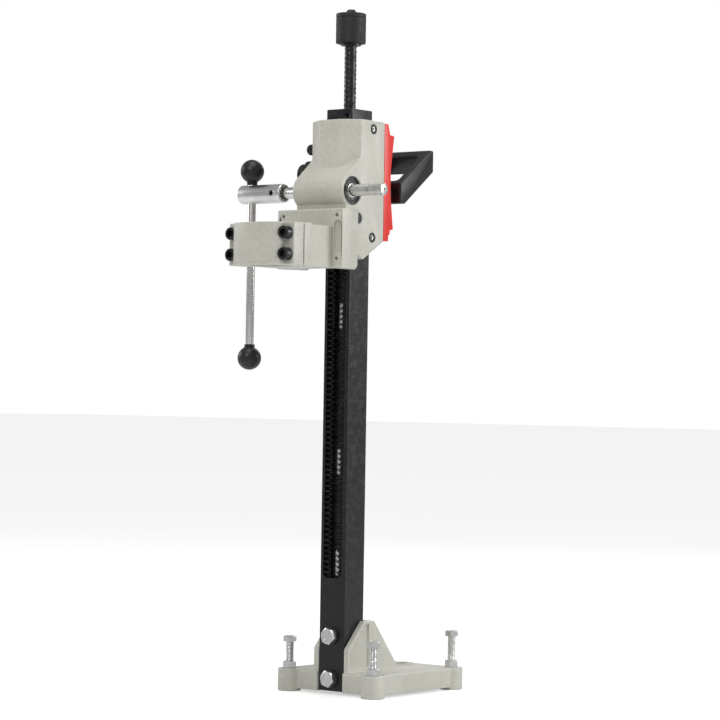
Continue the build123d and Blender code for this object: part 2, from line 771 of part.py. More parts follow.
# ---------------------------------------------------------------- bearings of the hand shaft
shaft_axis = Axis((0, shaft_y, shaft_z), (1, 0, 0))
bearing_middle = bearing_face - bearing_width / 2
ball_pitch = (bearing_radius + shaft_seat_radius) / 2
inner_ring_radius = shaft_seat_radius + bearing_ring
outer_ring_radius = bearing_radius - bearing_ring
with BuildPart() as bearing_outer_rings:
    with BuildSketch(facing_front(0, shaft_y, shaft_z)):
        with Locations((-bearing_middle, 0), (bearing_middle, 0)):
            with Locations((0, bearing_radius - bearing_ring / 2)):
                Rectangle(bearing_width, bearing_ring)
            with Locations((0, ball_pitch)):
                Circle(bearing_ball + 2 * running, mode=Mode.SUBTRACT)
    revolve(axis=shaft_axis)
bearing_outer_rings.part.label = "bearing_outer_rings"
export_step(bearing_outer_rings.part, "parts/bearing_outer_rings.step")

with BuildPart() as bearing_inner_rings:
    with BuildSketch(facing_front(0, shaft_y, shaft_z)):
        with Locations((-bearing_middle, 0), (bearing_middle, 0)):
            with Locations((0, shaft_seat_radius + bearing_ring / 2)):
                Rectangle(bearing_width, bearing_ring)
            with Locations((0, ball_pitch)):
                Circle(bearing_ball + 2 * running, mode=Mode.SUBTRACT)
    revolve(axis=shaft_axis)
bearing_inner_rings.part.label = "bearing_inner_rings"
export_step(bearing_inner_rings.part, "parts/bearing_inner_rings.step")

ball_planes = [across_x(shaft_y, shaft_z, side * bearing_middle) for side in (-1, 1)]
with BuildPart(*ball_planes) as bearing_balls:
    with PolarLocations(ball_pitch, bearing_ball_count):
        Sphere(bearing_ball)
bearing_balls.part.label = "bearing_balls"
export_step(bearing_balls.part, "parts/bearing_balls.step")

seal_thickness = 0.8
seal_offset = bearing_width / 2 - 0.3 - seal_thickness / 2
seal_places = [side * bearing_middle + edge * seal_offset for side in (-1, 1) for edge in (-1, 1)]
with BuildPart() as bearing_seals:
    with BuildSketch(facing_front(0, shaft_y, shaft_z)):
        with Locations([(place, ball_pitch) for place in seal_places]):
            Rectangle(seal_thickness, outer_ring_radius - inner_ring_radius - 0.2)
    revolve(axis=shaft_axis)
bearing_seals.part.label = "bearing_seals"
export_step(bearing_seals.part, "parts/bearing_seals.step")

circlip_gap = 8.0
with BuildPart() as circlips:
    for side in (-1, 1):
        with BuildSketch(across_x(shaft_y, shaft_z, side * bearing_face)):
            Circle(bearing_radius + circlip_depth - running)
            Circle(outer_ring_radius + 1.0, mode=Mode.SUBTRACT)
            with Locations((bearing_radius, 0)):
                Rectangle(2 * circlip_gap, circlip_gap, mode=Mode.SUBTRACT)
        extrude(amount=side * (circlip_thickness - running))
circlips.part.label = "circlips"
export_step(circlips.part, "parts/circlips.step")

# ---------------------------------------------------------------- hand shaft, hub and lever
with BuildPart() as feed_shaft:
    with BuildSketch(across_x(shaft_y, shaft_z, shaft_minus_end)):
        Circle(shaft_radius)
    extrude(amount=shaft_plus_end - shaft_minus_end)
    chamfer(feed_shaft.edges().filter_by(GeomType.CIRCLE), length=1.0)
    with BuildSketch(across_x(shaft_y, shaft_z, -carriage_half)):
        Circle(shaft_seat_radius)
    extrude(amount=2 * carriage_half)
    with BuildSketch(across_x(shaft_y, shaft_z, shaft_plus_end)):
        Circle(2.0)
    extrude(amount=-5.0, mode=Mode.SUBTRACT)
    with BuildSketch(facing_front(shaft_plus_end - 25.0, shaft_y - shaft_radius, shaft_z)):
        Circle(2.6)
    extrude(amount=-2 * shaft_radius, mode=Mode.SUBTRACT)
feed_shaft.part.label = "feed_shaft"
export_step(feed_shaft.part, "parts/feed_shaft.step")

with BuildPart() as hand_pinion:
    with BuildSketch(across_x(shaft_y, shaft_z, gear_inner)):
        with BuildLine():
            turn = gear_line + 180 + 180 / hand_teeth
            Polyline(gear_points(hand_teeth, wheel_module, wheel_addendum, wheel_module, turn), close=True)
        make_face()
        Circle(shaft_seat_radius, mode=Mode.SUBTRACT)
    extrude(amount=gear_width)
hand_pinion.part.label = "hand_pinion"
export_step(hand_pinion.part, "parts/hand_pinion.step")

with BuildPart() as lever_hub:
    with BuildSketch(across_x(shaft_y, shaft_z, hub_outer_end)):
        Circle(hub_radius)
    extrude(amount=hub_inner_end - hub_outer_end)
    chamfer(lever_hub.edges().filter_by(GeomType.CIRCLE), length=1.5)
    with BuildSketch(across_x(shaft_y, shaft_z, hub_inner_end)):
        Circle(hub_counterbore)
    extrude(amount=-4.0, mode=Mode.SUBTRACT)
    with BuildSketch(across_x(shaft_y, shaft_z, hub_inner_end)):
        Circle(shaft_radius)
    extrude(amount=shaft_minus_end - hub_inner_end - 2.0, mode=Mode.SUBTRACT)
    with BuildSketch(Plane.XY.offset(shaft_z - hub_radius)):
        with Locations((lever_x, shaft_y)):
            Circle(lever_radius + running)
    extrude(amount=2 * hub_radius, mode=Mode.SUBTRACT)
    with BuildSketch(facing_front(hub_inner_end - 15.0, shaft_y - hub_radius, shaft_z)):
        Circle(4.0)
    extrude(amount=-(hub_radius - shaft_radius), mode=Mode.SUBTRACT)
lever_hub.part.label = "lever_hub"
export_step(lever_hub.part, "parts/lever_hub.step")

with BuildPart() as hub_screw:
    with BuildSketch(facing_front(hub_inner_end - 15.0, shaft_y - hub_radius + 0.8, shaft_z)):
        Circle(4.0)
    extrude(amount=-(hub_radius - shaft_radius - 0.9))
    with BuildSketch(facing_front(hub_inner_end - 15.0, shaft_y - hub_radius + 0.8, shaft_z)):
        RegularPolygon(2.0, 6, major_radius=False)
    extrude(amount=-3.0, mode=Mode.SUBTRACT)
hub_screw.part.label = "hub_screw"
export_step(hub_screw.part, "parts/hub_screw.step")

rod_bury = 11.0
with BuildPart() as lever_rod:
    with BuildSketch(Plane.XY.offset(lever_bottom - rod_bury)):
        with Locations((lever_x, shaft_y)):
            Circle(lever_radius)
    extrude(amount=lever_top - lever_bottom + 2 * rod_bury)
lever_rod.part.label = "lever_rod"
export_step(lever_rod.part, "parts/lever_rod.step")

top_neck = shaft_z + hub_radius + 0.3
neck_length = lever_top - top_neck
with BuildPart() as ball_knobs:
    with Locations((lever_x, shaft_y, lever_bottom), (lever_x, shaft_y, lever_top)):
        Sphere(ball_radius)
    with BuildSketch(Plane.XY.offset(top_neck)):
        with Locations((lever_x, shaft_y)):
            Circle(ball_neck_radius)
    extrude(amount=neck_length)
    with BuildSketch(Plane.XY.offset(lever_bottom)):
        with Locations((lever_x, shaft_y)):
            Circle(ball_neck_radius)
    extrude(amount=neck_length)
    with BuildSketch(Plane.XY.offset(lever_bottom - rod_bury)):
        with Locations((lever_x, shaft_y)):
            Circle(lever_radius)
    extrude(amount=lever_top - lever_bottom + 2 * rod_bury, mode=Mode.SUBTRACT)
ball_knobs.part.label = "ball_knobs"
export_step(ball_knobs.part, "parts/ball_knobs.step")

# ---------------------------------------------------------------- countershaft
with BuildPart() as countershaft:
    with BuildSketch(across_x(counter_y, counter_z, 0.3 - carriage_half)):
        Circle(counter_radius)
    extrude(amount=2 * (carriage_half - 0.3))
countershaft.part.label = "countershaft"
export_step(countershaft.part, "parts/countershaft.step")

with BuildPart() as reduction_wheel:
    with BuildSketch(across_x(counter_y, counter_z, gear_inner)):
        with BuildLine():
            Polyline(
                gear_points(wheel_teeth, wheel_module, wheel_addendum, wheel_module, gear_line),
                close=True,
            )
        make_face()
        Circle(counter_radius, mode=Mode.SUBTRACT)
    extrude(amount=gear_width)
reduction_wheel.part.label = "reduction_wheel"
export_step(reduction_wheel.part, "parts/reduction_wheel.step")

with BuildPart() as rack_pinion:
    with BuildSketch(across_x(counter_y, counter_z, 1.0 - rack_half_width)):
        with BuildLine():
            Polyline(
                gear_points(rack_pinion_teeth, rack_module, rack_addendum, rack_dedendum, 0),
                close=True,
            )
        make_face()
        Circle(counter_radius, mode=Mode.SUBTRACT)
    extrude(amount=2 * (rack_half_width - 1.0))
rack_pinion.part.label = "rack_pinion"
export_step(rack_pinion.part, "parts/rack_pinion.step")

# ---------------------------------------------------------------- drill collar
collar_split = collar_y + collar_gap / 2
collar_flange_back = collar_split + collar_back_flange
bolt_places = [
    (side * collar_bolt_half_spacing, collar_z + rise)
    for side in (-1, 1)
    for rise in (-collar_bolt_rise, collar_bolt_rise)
]
with BuildPart() as collar_body:
    with BuildSketch(Plane.XY.offset(collar_bottom)):
        with Locations((0, collar_split)):
            Rectangle(2 * collar_flange_half, collar_back_flange, align=(Align.CENTER, Align.MIN))
            Rectangle(2 * neck_half, apron_front - collar_split, align=(Align.CENTER, Align.MIN))
        with Locations((0, collar_y)):
            Circle(collar_bore, mode=Mode.SUBTRACT)
    extrude(amount=collar_height)
    with BuildSketch(facing_front(0, collar_split, 0)):
        with Locations(bolt_places):
            Circle(collar_bolt_radius + running)
    extrude(amount=-collar_back_flange, mode=Mode.SUBTRACT)
    with BuildSketch(facing_front(0, apron_front, collar_z)):
        with GridLocations(2 * mount_bolt_half_spacing, 2 * mount_bolt_rise, 2, 2):
            Circle(mount_bolt_radius + running)
    extrude(amount=22.0, mode=Mode.SUBTRACT)
collar_body.part.label = "collar_body"
export_step(collar_body.part, "parts/collar_body.step")

cap_split = collar_y - collar_gap / 2
flange_front = collar_y - collar_flange_depth
shoulder_front = collar_y - collar_crown + 9.0
with BuildPart() as collar_cap:
    with BuildSketch(Plane.XY.offset(collar_bottom)) as cap_plan:
        with BuildLine():
            left = Line((-collar_block_half, cap_split), (-collar_block_half, shoulder_front))
            crown = ThreePointArc(
                left @ 1, (0, collar_y - collar_crown), (collar_block_half, shoulder_front)
            )
            right = Line(crown @ 1, (collar_block_half, cap_split))
            Line(right @ 1, left @ 0)
        make_face()
        fillet(cap_plan.vertices().group_by(Axis.Y)[0], radius=12.0)
        with Locations((0, cap_split)):
            Rectangle(2 * collar_flange_half, cap_split - flange_front, align=(Align.CENTER, Align.MAX))
        with Locations((0, collar_y)):
            Circle(collar_bore, mode=Mode.SUBTRACT)
    extrude(amount=collar_height)
    with BuildSketch(facing_front(0, flange_front, 0)):
        with Locations(bolt_places):
            Circle(collar_bolt_head_radius + 0.4)
    extrude(amount=collar_crown, mode=Mode.SUBTRACT)
    with BuildSketch(facing_front(0, flange_front, 0)):
        with Locations(bolt_places):
            Circle(collar_bolt_radius + 0.3)
    extrude(amount=flange_front - cap_split, mode=Mode.SUBTRACT)
collar_cap.part.label = "collar_cap"
export_step(collar_cap.part, "parts/collar_cap.step")

with BuildPart() as collar_bolts:
    with BuildSketch(facing_front(0, flange_front, 0)):
        with Locations(bolt_places):
            Circle(collar_bolt_head_radius)
    extrude(amount=collar_bolt_head)
    chamfer(collar_bolts.edges().filter_by(GeomType.CIRCLE).group_by(Axis.Y)[0], length=1.0)
    with BuildSketch(facing_front(0, flange_front, 0)):
        with Locations(bolt_places):
            Circle(collar_bolt_radius)
    extrude(amount=flange_front - collar_flange_back + 2.0)
    with BuildSketch(facing_front(0, flange_front - collar_bolt_head, 0)):
        with Locations(bolt_places):
            RegularPolygon(5.0, 6, major_radius=False)
    extrude(amount=-6.0, mode=Mode.SUBTRACT)
collar_bolts.part.label = "collar_bolts"
export_step(collar_bolts.part, "parts/collar_bolts.step")

mount_head_y = apron_front + carriage_wall
with BuildPart() as collar_mount_bolts:
    with BuildSketch(facing_front(0, mount_head_y, collar_z)):
        with GridLocations(2 * mount_bolt_half_spacing, 2 * mount_bolt_rise, 2, 2):
            Circle(mount_bolt_head_radius)
    extrude(amount=-mount_bolt_head)
    with BuildSketch(facing_front(0, mount_head_y + mount_bolt_head, collar_z)):
        with GridLocations(2 * mount_bolt_half_spacing, 2 * mount_bolt_rise, 2, 2):
            RegularPolygon(4.0, 6, major_radius=False)
    extrude(amount=5.0, mode=Mode.SUBTRACT)
    with BuildSketch(facing_front(0, mount_head_y, collar_z)):
        with GridLocations(2 * mount_bolt_half_spacing, 2 * mount_bolt_rise, 2, 2):
            Circle(mount_bolt_radius)
    extrude(amount=carriage_wall + 18.0)
collar_mount_bolts.part.label = "collar_mount_bolts"
export_step(collar_mount_bolts.part, "parts/collar_mount_bolts.step")

# ---------------------------------------------------------------- rear bridge, cover and handle
bridge_bolt_places = [
    (side * bridge_bolt_half_spacing, height) for side in (-1, 1) for height in bridge_bolt_heights
]
handle_bolt_z = handle_low + handle_bar_height / 2
handle_bolt_places = [(side * handle_post_half_spacing, handle_bolt_z) for side in (-1, 1)]
cover_screw_places = [(side * 34.0, handle_bolt_z + 4.0) for side in (-1, 1)]
cover_screw_radius = 2.5
with BuildPart() as rear_bridge:
    with BuildSketch(facing_front(0, carriage_back, (bridge_bottom + bridge_top) / 2)):
        RectangleRounded(2 * bridge_half, bridge_top - bridge_bottom, 4.0)
    extrude(amount=-bridge_thickness)
    with BuildSketch(facing_front(0, carriage_back, 0)):
        with Locations(bridge_bolt_places + handle_bolt_places):
            Circle(bridge_bolt_radius + running)
        with Locations(cover_screw_places):
            Circle(cover_screw_radius + running)
    extrude(amount=-bridge_thickness, mode=Mode.SUBTRACT)
rear_bridge.part.label = "rear_bridge"
export_step(rear_bridge.part, "parts/rear_bridge.step")

with BuildPart() as bridge_bolts:
    with BuildSketch(facing_front(0, bridge_back, 0)):
        with Locations(bridge_bolt_places):
            Circle(6.5)
    extrude(amount=-5.0)
    with BuildSketch(facing_front(0, bridge_back + 5.0, 0)):
        with Locations(bridge_bolt_places):
            RegularPolygon(2.5, 6, major_radius=False)
    extrude(amount=3.0, mode=Mode.SUBTRACT)
    with BuildSketch(facing_front(0, bridge_back, 0)):
        with Locations(bridge_bolt_places):
            Circle(bridge_bolt_radius)
    extrude(amount=bridge_thickness + 18.0)
bridge_bolts.part.label = "bridge_bolts"
export_step(bridge_bolts.part, "parts/bridge_bolts.step")

cover_back = carriage_back + cover_depth
cover_inset = carriage_back + cover_waist
cover_outline = [
    (carriage_back, cover_bottom),
    (carriage_back + cover_lip, cover_bottom),
    (carriage_back + cover_lip, cover_bottom + cover_lip_step / 2),
    (carriage_back + cover_lip + 3.0, cover_bottom + cover_lip_step / 2 + 1.0),
    (carriage_back + cover_lip + 4.0, cover_bottom + cover_lip_step - 1.0),
    (cover_back, cover_bottom + cover_lip_step),
    (cover_inset, cover_waist_bottom),
    (cover_inset, cover_waist_top),
    (cover_back, cover_top - cover_brow_step),
    (carriage_back + cover_lip + 1.0, cover_top - cover_brow_step + 1.0),
    (carriage_back + cover_lip - 1.0, cover_top - cover_brow_step / 2),
    (carriage_back + cover_brow, cover_top),
    (carriage_back, cover_top),
]
cover_hollow = [
    (carriage_back, cover_bottom + cover_wall),
    (carriage_back + cover_lip - cover_wall, cover_bottom + cover_wall),
    (carriage_back + cover_lip - cover_wall, cover_bottom + cover_lip_step + cover_wall),
    (cover_back - cover_wall, cover_bottom + cover_lip_step + cover_wall),
    (cover_inset - cover_wall, cover_waist_bottom),
    (cover_inset - cover_wall, cover_waist_top),
    (cover_back - 2 * cover_wall, cover_top - cover_brow_step - cover_wall),
    (carriage_back + cover_lip - cover_wall, cover_top - cover_brow_step - cover_wall),
    (carriage_back + cover_brow - cover_wall, cover_top - cover_wall),
    (carriage_back, cover_top - cover_wall),
]
with BuildPart() as back_cover:
    with BuildSketch(across_x(0, 0, -carriage_half)):
        with BuildLine():
            Polyline(cover_outline, close=True)
        make_face()
    extrude(amount=2 * carriage_half)
    with BuildSketch(across_x(0, 0, cover_wall - carriage_half)):
        with BuildLine():
            Polyline(cover_hollow, close=True)
        make_face()
    extrude(amount=2 * (carriage_half - cover_wall), mode=Mode.SUBTRACT)
    with BuildSketch(facing_front(0, carriage_back, 0)):
        with Locations(handle_bolt_places):
            Circle(handle_post_radius + 0.3)
        with Locations(cover_screw_places):
            Circle(cover_screw_radius + 0.2)
    extrude(amount=-cover_depth, mode=Mode.SUBTRACT)
back_cover.part.label = "back_cover"
export_step(back_cover.part, "parts/back_cover.step")

with BuildPart() as cover_screws:
    with BuildSketch(facing_front(0, cover_inset, 0)):
        with Locations(cover_screw_places):
            Circle(4.5)
    extrude(amount=-2.5)
    with BuildSketch(facing_front(0, cover_inset + 2.5, 0)):
        with Locations(cover_screw_places):
            RegularPolygon(1.5, 6, major_radius=False)
    extrude(amount=1.8, mode=Mode.SUBTRACT)
    with BuildSketch(facing_front(0, cover_inset, 0)):
        with Locations(cover_screw_places):
            Circle(cover_screw_radius)
    extrude(amount=cover_waist - 2.0)
cover_screws.part.label = "cover_screws"
export_step(cover_screws.part, "parts/cover_screws.step")

handle_rise = math.atan2(handle_high - handle_bar_height - 2.0 - handle_low, handle_back - handle_front - 12.0)
handle_outline = [
    (handle_front, handle_low),
    (handle_front, handle_low + handle_bar_height),
    (handle_back - 9.0, handle_high),
    (handle_back, handle_high),
    (handle_back, handle_high - handle_bar_height - 2.0),
    (handle_front + 12.0, handle_low),
]
handle_run = (handle_back - handle_front) / math.cos(handle_rise)
handle_head_y = handle_front + 14.0
handle_plane = Plane(
    origin=(0, handle_front, handle_bolt_z),
    x_dir=(1, 0, 0),
    z_dir=(0, -math.sin(handle_rise), math.cos(handle_rise)),
)
with BuildPart() as carry_handle:
    with BuildSketch(across_x(0, 0, -handle_half)) as handle_side:
        with BuildLine():
            Polyline(handle_outline, close=True)
        make_face()
        fillet(handle_side.vertices(), radius=2.5)
    extrude(amount=2 * handle_half)
    with BuildSketch(handle_plane) as handle_opening:
        with Locations((0, handle_front_bar)):
            Rectangle(
                2 * (handle_half - handle_bar),
                handle_run - handle_front_bar - handle_rear_bar,
                align=(Align.CENTER, Align.MIN),
            )
        fillet(handle_opening.vertices(), radius=5.0)
    extrude(amount=handle_half, both=True, mode=Mode.SUBTRACT)
    with BuildSketch(facing_front(0, bridge_back, 0)):
        with Locations(handle_bolt_places):
            Circle(handle_post_radius)
    extrude(amount=bridge_back - handle_front - 2.0)
    with BuildSketch(facing_front(0, bridge_back, 0)):
        with Locations(handle_bolt_places):
            Circle(handle_bolt_radius + running)
    extrude(amount=bridge_back - handle_back, mode=Mode.SUBTRACT)
    with BuildSketch(facing_front(0, handle_head_y, 0)):
        with Locations(handle_bolt_places):
            Circle(7.0)
    extrude(amount=handle_head_y - handle_back, mode=Mode.SUBTRACT)
carry_handle.part.label = "carry_handle"
export_step(carry_handle.part, "parts/carry_handle.step")

with BuildPart() as handle_bolts:
    with BuildSketch(facing_front(0, handle_head_y, 0)):
        with Locations(handle_bolt_places):
            Circle(6.5)
    extrude(amount=-8.0)
    with BuildSketch(facing_front(0, handle_head_y + 8.0, 0)):
        with Locations(handle_bolt_places):
            RegularPolygon(3.0, 6, major_radius=False)
    extrude(amount=4.0, mode=Mode.SUBTRACT)
    with BuildSketch(facing_front(0, handle_head_y, 0)):
        with Locations(handle_bolt_places):
            Circle(handle_bolt_radius)
    extrude(amount=handle_head_y - carriage_back - 1.0)
handle_bolts.part.label = "handle_bolts"
export_step(handle_bolts.part, "parts/handle_bolts.step")

# ---------------------------------------------------------------- carriage lock and side screw
with BuildPart() as lock_pad:
    with BuildSketch(across_x(lock_y, lock_z, -column_half - running)):
        Circle(lock_pad_radius)
    extrude(amount=2 * running - guide_pad_thickness)
lock_pad.part.label = "lock_pad"
export_step(lock_pad.part, "parts/lock_pad.step")

with BuildPart() as lock_stud:
    with BuildSketch(across_x(lock_y, lock_z, -column_half - guide_pad_thickness)):
        Circle(lock_stud_radius)
    extrude(amount=column_half + guide_pad_thickness - lock_knob_step)
lock_stud.part.label = "lock_stud"
export_step(lock_stud.part, "parts/lock_stud.step")

with BuildPart() as lock_knob:
    with BuildSketch(across_x(lock_y, lock_z, -carriage_half - 0.6)):
        Circle(lock_knob_radius / 2)
    extrude(amount=carriage_half + 0.6 - lock_knob_inner)
    with BuildSketch(across_x(lock_y, lock_z, -lock_knob_inner)):
        Circle(lock_knob_radius)
        with PolarLocations(lock_knob_radius + 2.0, 8):
            Circle(5.0, mode=Mode.SUBTRACT)
    extrude(amount=lock_knob_inner - lock_knob_step)
    with BuildSketch(across_x(lock_y, lock_z, -lock_knob_step)):
        Circle(0.8 * lock_knob_radius)
    extrude(amount=lock_knob_step - lock_knob_outer)
    fillet(lock_knob.faces().sort_by(Axis.X)[0].edges(), radius=3.0)
    with BuildSketch(across_x(lock_y, lock_z, -carriage_half)):
        Circle(lock_stud_radius)
    extrude(amount=carriage_half - lock_knob_step, mode=Mode.SUBTRACT)
lock_knob.part.label = "lock_knob"
export_step(lock_knob.part, "parts/lock_knob.step")

with BuildPart() as side_screw:
    with BuildSketch(across_x(side_screw_y, side_screw_z, -carriage_half)):
        Circle(side_screw_head)
    extrude(amount=-14.0)
    fillet(side_screw.faces().sort_by(Axis.X)[0].edges(), radius=5.0)
    with BuildSketch(across_x(side_screw_y, side_screw_z, -carriage_half)):
        Circle(lock_stud_radius)
    extrude(amount=13.0)
side_screw.part.label = "side_screw"
export_step(side_screw.part, "parts/side_screw.step")
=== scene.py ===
import bpy
import json
import math
from mathutils import Matrix, Vector


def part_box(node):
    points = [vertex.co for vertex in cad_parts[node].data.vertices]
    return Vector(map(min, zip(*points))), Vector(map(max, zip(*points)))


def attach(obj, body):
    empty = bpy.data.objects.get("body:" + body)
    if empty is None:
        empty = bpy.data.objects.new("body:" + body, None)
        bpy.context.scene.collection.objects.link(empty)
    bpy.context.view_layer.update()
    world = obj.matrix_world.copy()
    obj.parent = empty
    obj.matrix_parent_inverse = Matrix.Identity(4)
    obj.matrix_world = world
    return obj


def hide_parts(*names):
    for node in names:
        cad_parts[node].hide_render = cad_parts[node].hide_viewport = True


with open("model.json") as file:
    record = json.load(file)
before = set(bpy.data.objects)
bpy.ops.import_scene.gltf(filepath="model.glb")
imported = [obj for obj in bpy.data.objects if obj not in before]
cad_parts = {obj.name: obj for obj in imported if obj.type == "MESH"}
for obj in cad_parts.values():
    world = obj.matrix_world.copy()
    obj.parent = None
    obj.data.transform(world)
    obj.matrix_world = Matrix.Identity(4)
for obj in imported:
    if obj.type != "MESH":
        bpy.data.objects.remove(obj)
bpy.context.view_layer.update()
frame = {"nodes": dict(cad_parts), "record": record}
mm = 0.001

# camera, light and floor

cameraSetup = {
    "place": (2.4868, -3.1044, 0.4394),
    "heading": 38.395,  # degrees round from +Y
    "pitch": 0.687,
    "roll": 0.925,
    "lens": 135.97,
}

lightSetup = {
    # name: place, target, size, power, colour
    "keyLight": ((0.7, -3.3, 2.6), (0, 0, 0.55), 1.7, 40.0, (1.0, 0.99, 0.97)),
    "sideLight": ((2.9, 1.7, 1.4), (0, 0, 0.5), 1.8, 58.0, (0.99, 0.995, 1.0)),
    "leftLight": ((-3.1, -0.8, 1.5), (0, 0, 0.5), 1.4, 20.0, (1.0, 1.0, 1.0)),
    "rearLight": ((-1.2, 2.8, 2.2), (0, 0, 0.6), 2.0, 22.0, (1.0, 1.0, 1.0)),
    "topLight": ((0.3, -0.5, 3.2), (0, 0, 0.4), 2.2, 30.0, (1.0, 1.0, 1.0)),
}

floorSetup = {
    "size": 60.0,
    "colour": (0.94, 0.94, 0.94),
    "roughness": 0.16,
    "gloss": 0.3,
    "glow": 0.56,  # lifts the floor to the backdrop's white, for the camera only
    "worldColour": (1.0, 1.0, 1.0),
    "backdropStrength": 1.0,  # what the camera sees
    "fillStrength": 0.34,  # what lights the rig
}


def deselectAll():
    for each in list(bpy.context.selected_objects):
        each.select_set(False)


def activate(piece):
    deselectAll()
    piece.select_set(True)
    bpy.context.view_layer.objects.active = piece


def makeCamera(setup):
    heading = math.radians(setup["heading"])
    pitch = math.radians(setup["pitch"])
    roll = math.radians(setup["roll"])
    reach = math.cos(pitch)
    ahead = Vector((-math.sin(heading) * reach, math.cos(heading) * reach, math.sin(pitch)))
    levelRight = Vector((math.cos(heading), math.sin(heading), 0))
    levelUp = levelRight.cross(ahead)
    right = levelRight * math.cos(roll) + levelUp * math.sin(roll)
    up = levelUp * math.cos(roll) - levelRight * math.sin(roll)
    cameraData = bpy.data.cameras.new("camera")
    cameraData.lens = setup["lens"]
    cameraData.sensor_width = 36
    cameraData.clip_end = 200
    camera = bpy.data.objects.new("camera", cameraData)
    bpy.context.scene.collection.objects.link(camera)
    turn = Matrix((right, up, -ahead)).transposed()
    camera.matrix_world = Matrix.Translation(setup["place"]) @ turn.to_4x4()
    bpy.context.scene.camera = camera


def makeLights(setup):
    for name, (place, target, size, power, colour) in setup.items():
        lightData = bpy.data.lights.new(name, "AREA")
        lightData.shape = "DISK"
        lightData.size = size
        lightData.energy = power
        lightData.color = colour
        light = bpy.data.objects.new(name, lightData)
        light.location = place
        aim = Vector(target) - Vector(place)
        light.rotation_euler = aim.to_track_quat("-Z", "Y").to_euler()
        bpy.context.scene.collection.objects.link(light)


def makeFloor(setup):
    deselectAll()
    bpy.ops.mesh.primitive_plane_add(size=setup["size"], location=(0, 0, 0))
    floor = bpy.context.object
    floor.name = "floor"
    material = bpy.data.materials.new("paleFloor")
    material.use_nodes = True
    shader = material.node_tree.nodes["Principled BSDF"]
    shader.inputs["Base Color"].default_value = (*setup["colour"], 1)
    shader.inputs["Roughness"].default_value = setup["roughness"]
    shader.inputs["Specular IOR Level"].default_value = setup["gloss"]
    shader.inputs["Emission Color"].default_value = (1, 1, 1, 1)
    seen = material.node_tree.nodes.new("ShaderNodeLightPath")
    glow = material.node_tree.nodes.new("ShaderNodeMath")
    glow.operation = "MULTIPLY"
    glow.inputs[1].default_value = setup["glow"]
    material.node_tree.links.new(seen.outputs["Is Camera Ray"], glow.inputs[0])
    material.node_tree.links.new(glow.outputs[0], shader.inputs["Emission Strength"])
    floor.data.materials.append(material)


def makeBackdrop(setup):
    world = bpy.data.worlds.new("studio")
    world.use_nodes = True
    tree = world.node_tree
    fill = tree.nodes["Background"]
    fill.inputs["Color"].default_value = (*setup["worldColour"], 1)
    fill.inputs["Strength"].default_value = setup["fillStrength"]
    backdrop = tree.nodes.new("ShaderNodeBackground")
    backdrop.inputs["Color"].default_value = (*setup["worldColour"], 1)
    backdrop.inputs["Strength"].default_value = setup["backdropStrength"]
    rays = tree.nodes.new("ShaderNodeLightPath")
    either = tree.nodes.new("ShaderNodeMixShader")
    tree.links.new(rays.outputs["Is Camera Ray"], either.inputs[0])
    tree.links.new(fill.outputs["Background"], either.inputs[1])
    tree.links.new(backdrop.outputs["Background"], either.inputs[2])
    tree.links.new(either.outputs["Shader"], tree.nodes["World Output"].inputs["Surface"])
    bpy.context.scene.world = world
    bpy.context.scene.view_settings.view_transform = "Standard"


makeCamera(cameraSetup)
makeLights(lightSetup)
makeFloor(floorSetup)
makeBackdrop(floorSetup)
print("camera, lights and floor made")

# shader groups shared by the finishes


def newGroup(name, inputs, outputs):
    group = bpy.data.node_groups.new(name, "ShaderNodeTree")
    for label, kind, value in inputs:
        socket = group.interface.new_socket(label, in_out="INPUT", socket_type=kind)
        if value is not None:
            socket.default_value = value
    for label, kind in outputs:
        group.interface.new_socket(label, in_out="OUTPUT", socket_type=kind)
    entry = group.nodes.new("NodeGroupInput")
    leave = group.nodes.new("NodeGroupOutput")
    return group, entry, leave


def addNode(tree, kind, settings=None, values=None):
    node = tree.nodes.new(kind)
    for label, value in (settings or {}).items():
        setattr(node, label, value)
    for label, value in (values or {}).items():
        node.inputs[label].default_value = value
    return node


def mathNode(tree, operation, first, second=None, clamp=False):
    node = addNode(tree, "ShaderNodeMath", {"operation": operation, "use_clamp": clamp})
    for index, value in enumerate((first, second)):
        if value is None:
            continue
        if isinstance(value, (int, float)):
            node.inputs[index].default_value = value
        else:
            tree.links.new(value, node.inputs[index])
    return node.outputs[0]


def rampNode(tree, value, low, high, toLow=0.0, toHigh=1.0):
    node = addNode(tree, "ShaderNodeMapRange", {"interpolation_type": "SMOOTHSTEP"})
    node.inputs["From Min"].default_value = low
    node.inputs["From Max"].default_value = high
    node.inputs["To Min"].default_value = toLow
    node.inputs["To Max"].default_value = toHigh
    tree.links.new(value, node.inputs["Value"])
    return node.outputs["Result"]


def noiseNode(tree, vector, scale, detail=3.0, roughness=0.5):
    node = addNode(tree, "ShaderNodeTexNoise", values={"Detail": detail, "Roughness": roughness})
    tree.links.new(vector, node.inputs["Vector"])
    if isinstance(scale, (int, float)):
        node.inputs["Scale"].default_value = scale
    else:
        tree.links.new(scale, node.inputs["Scale"])
    return node.outputs["Fac"]


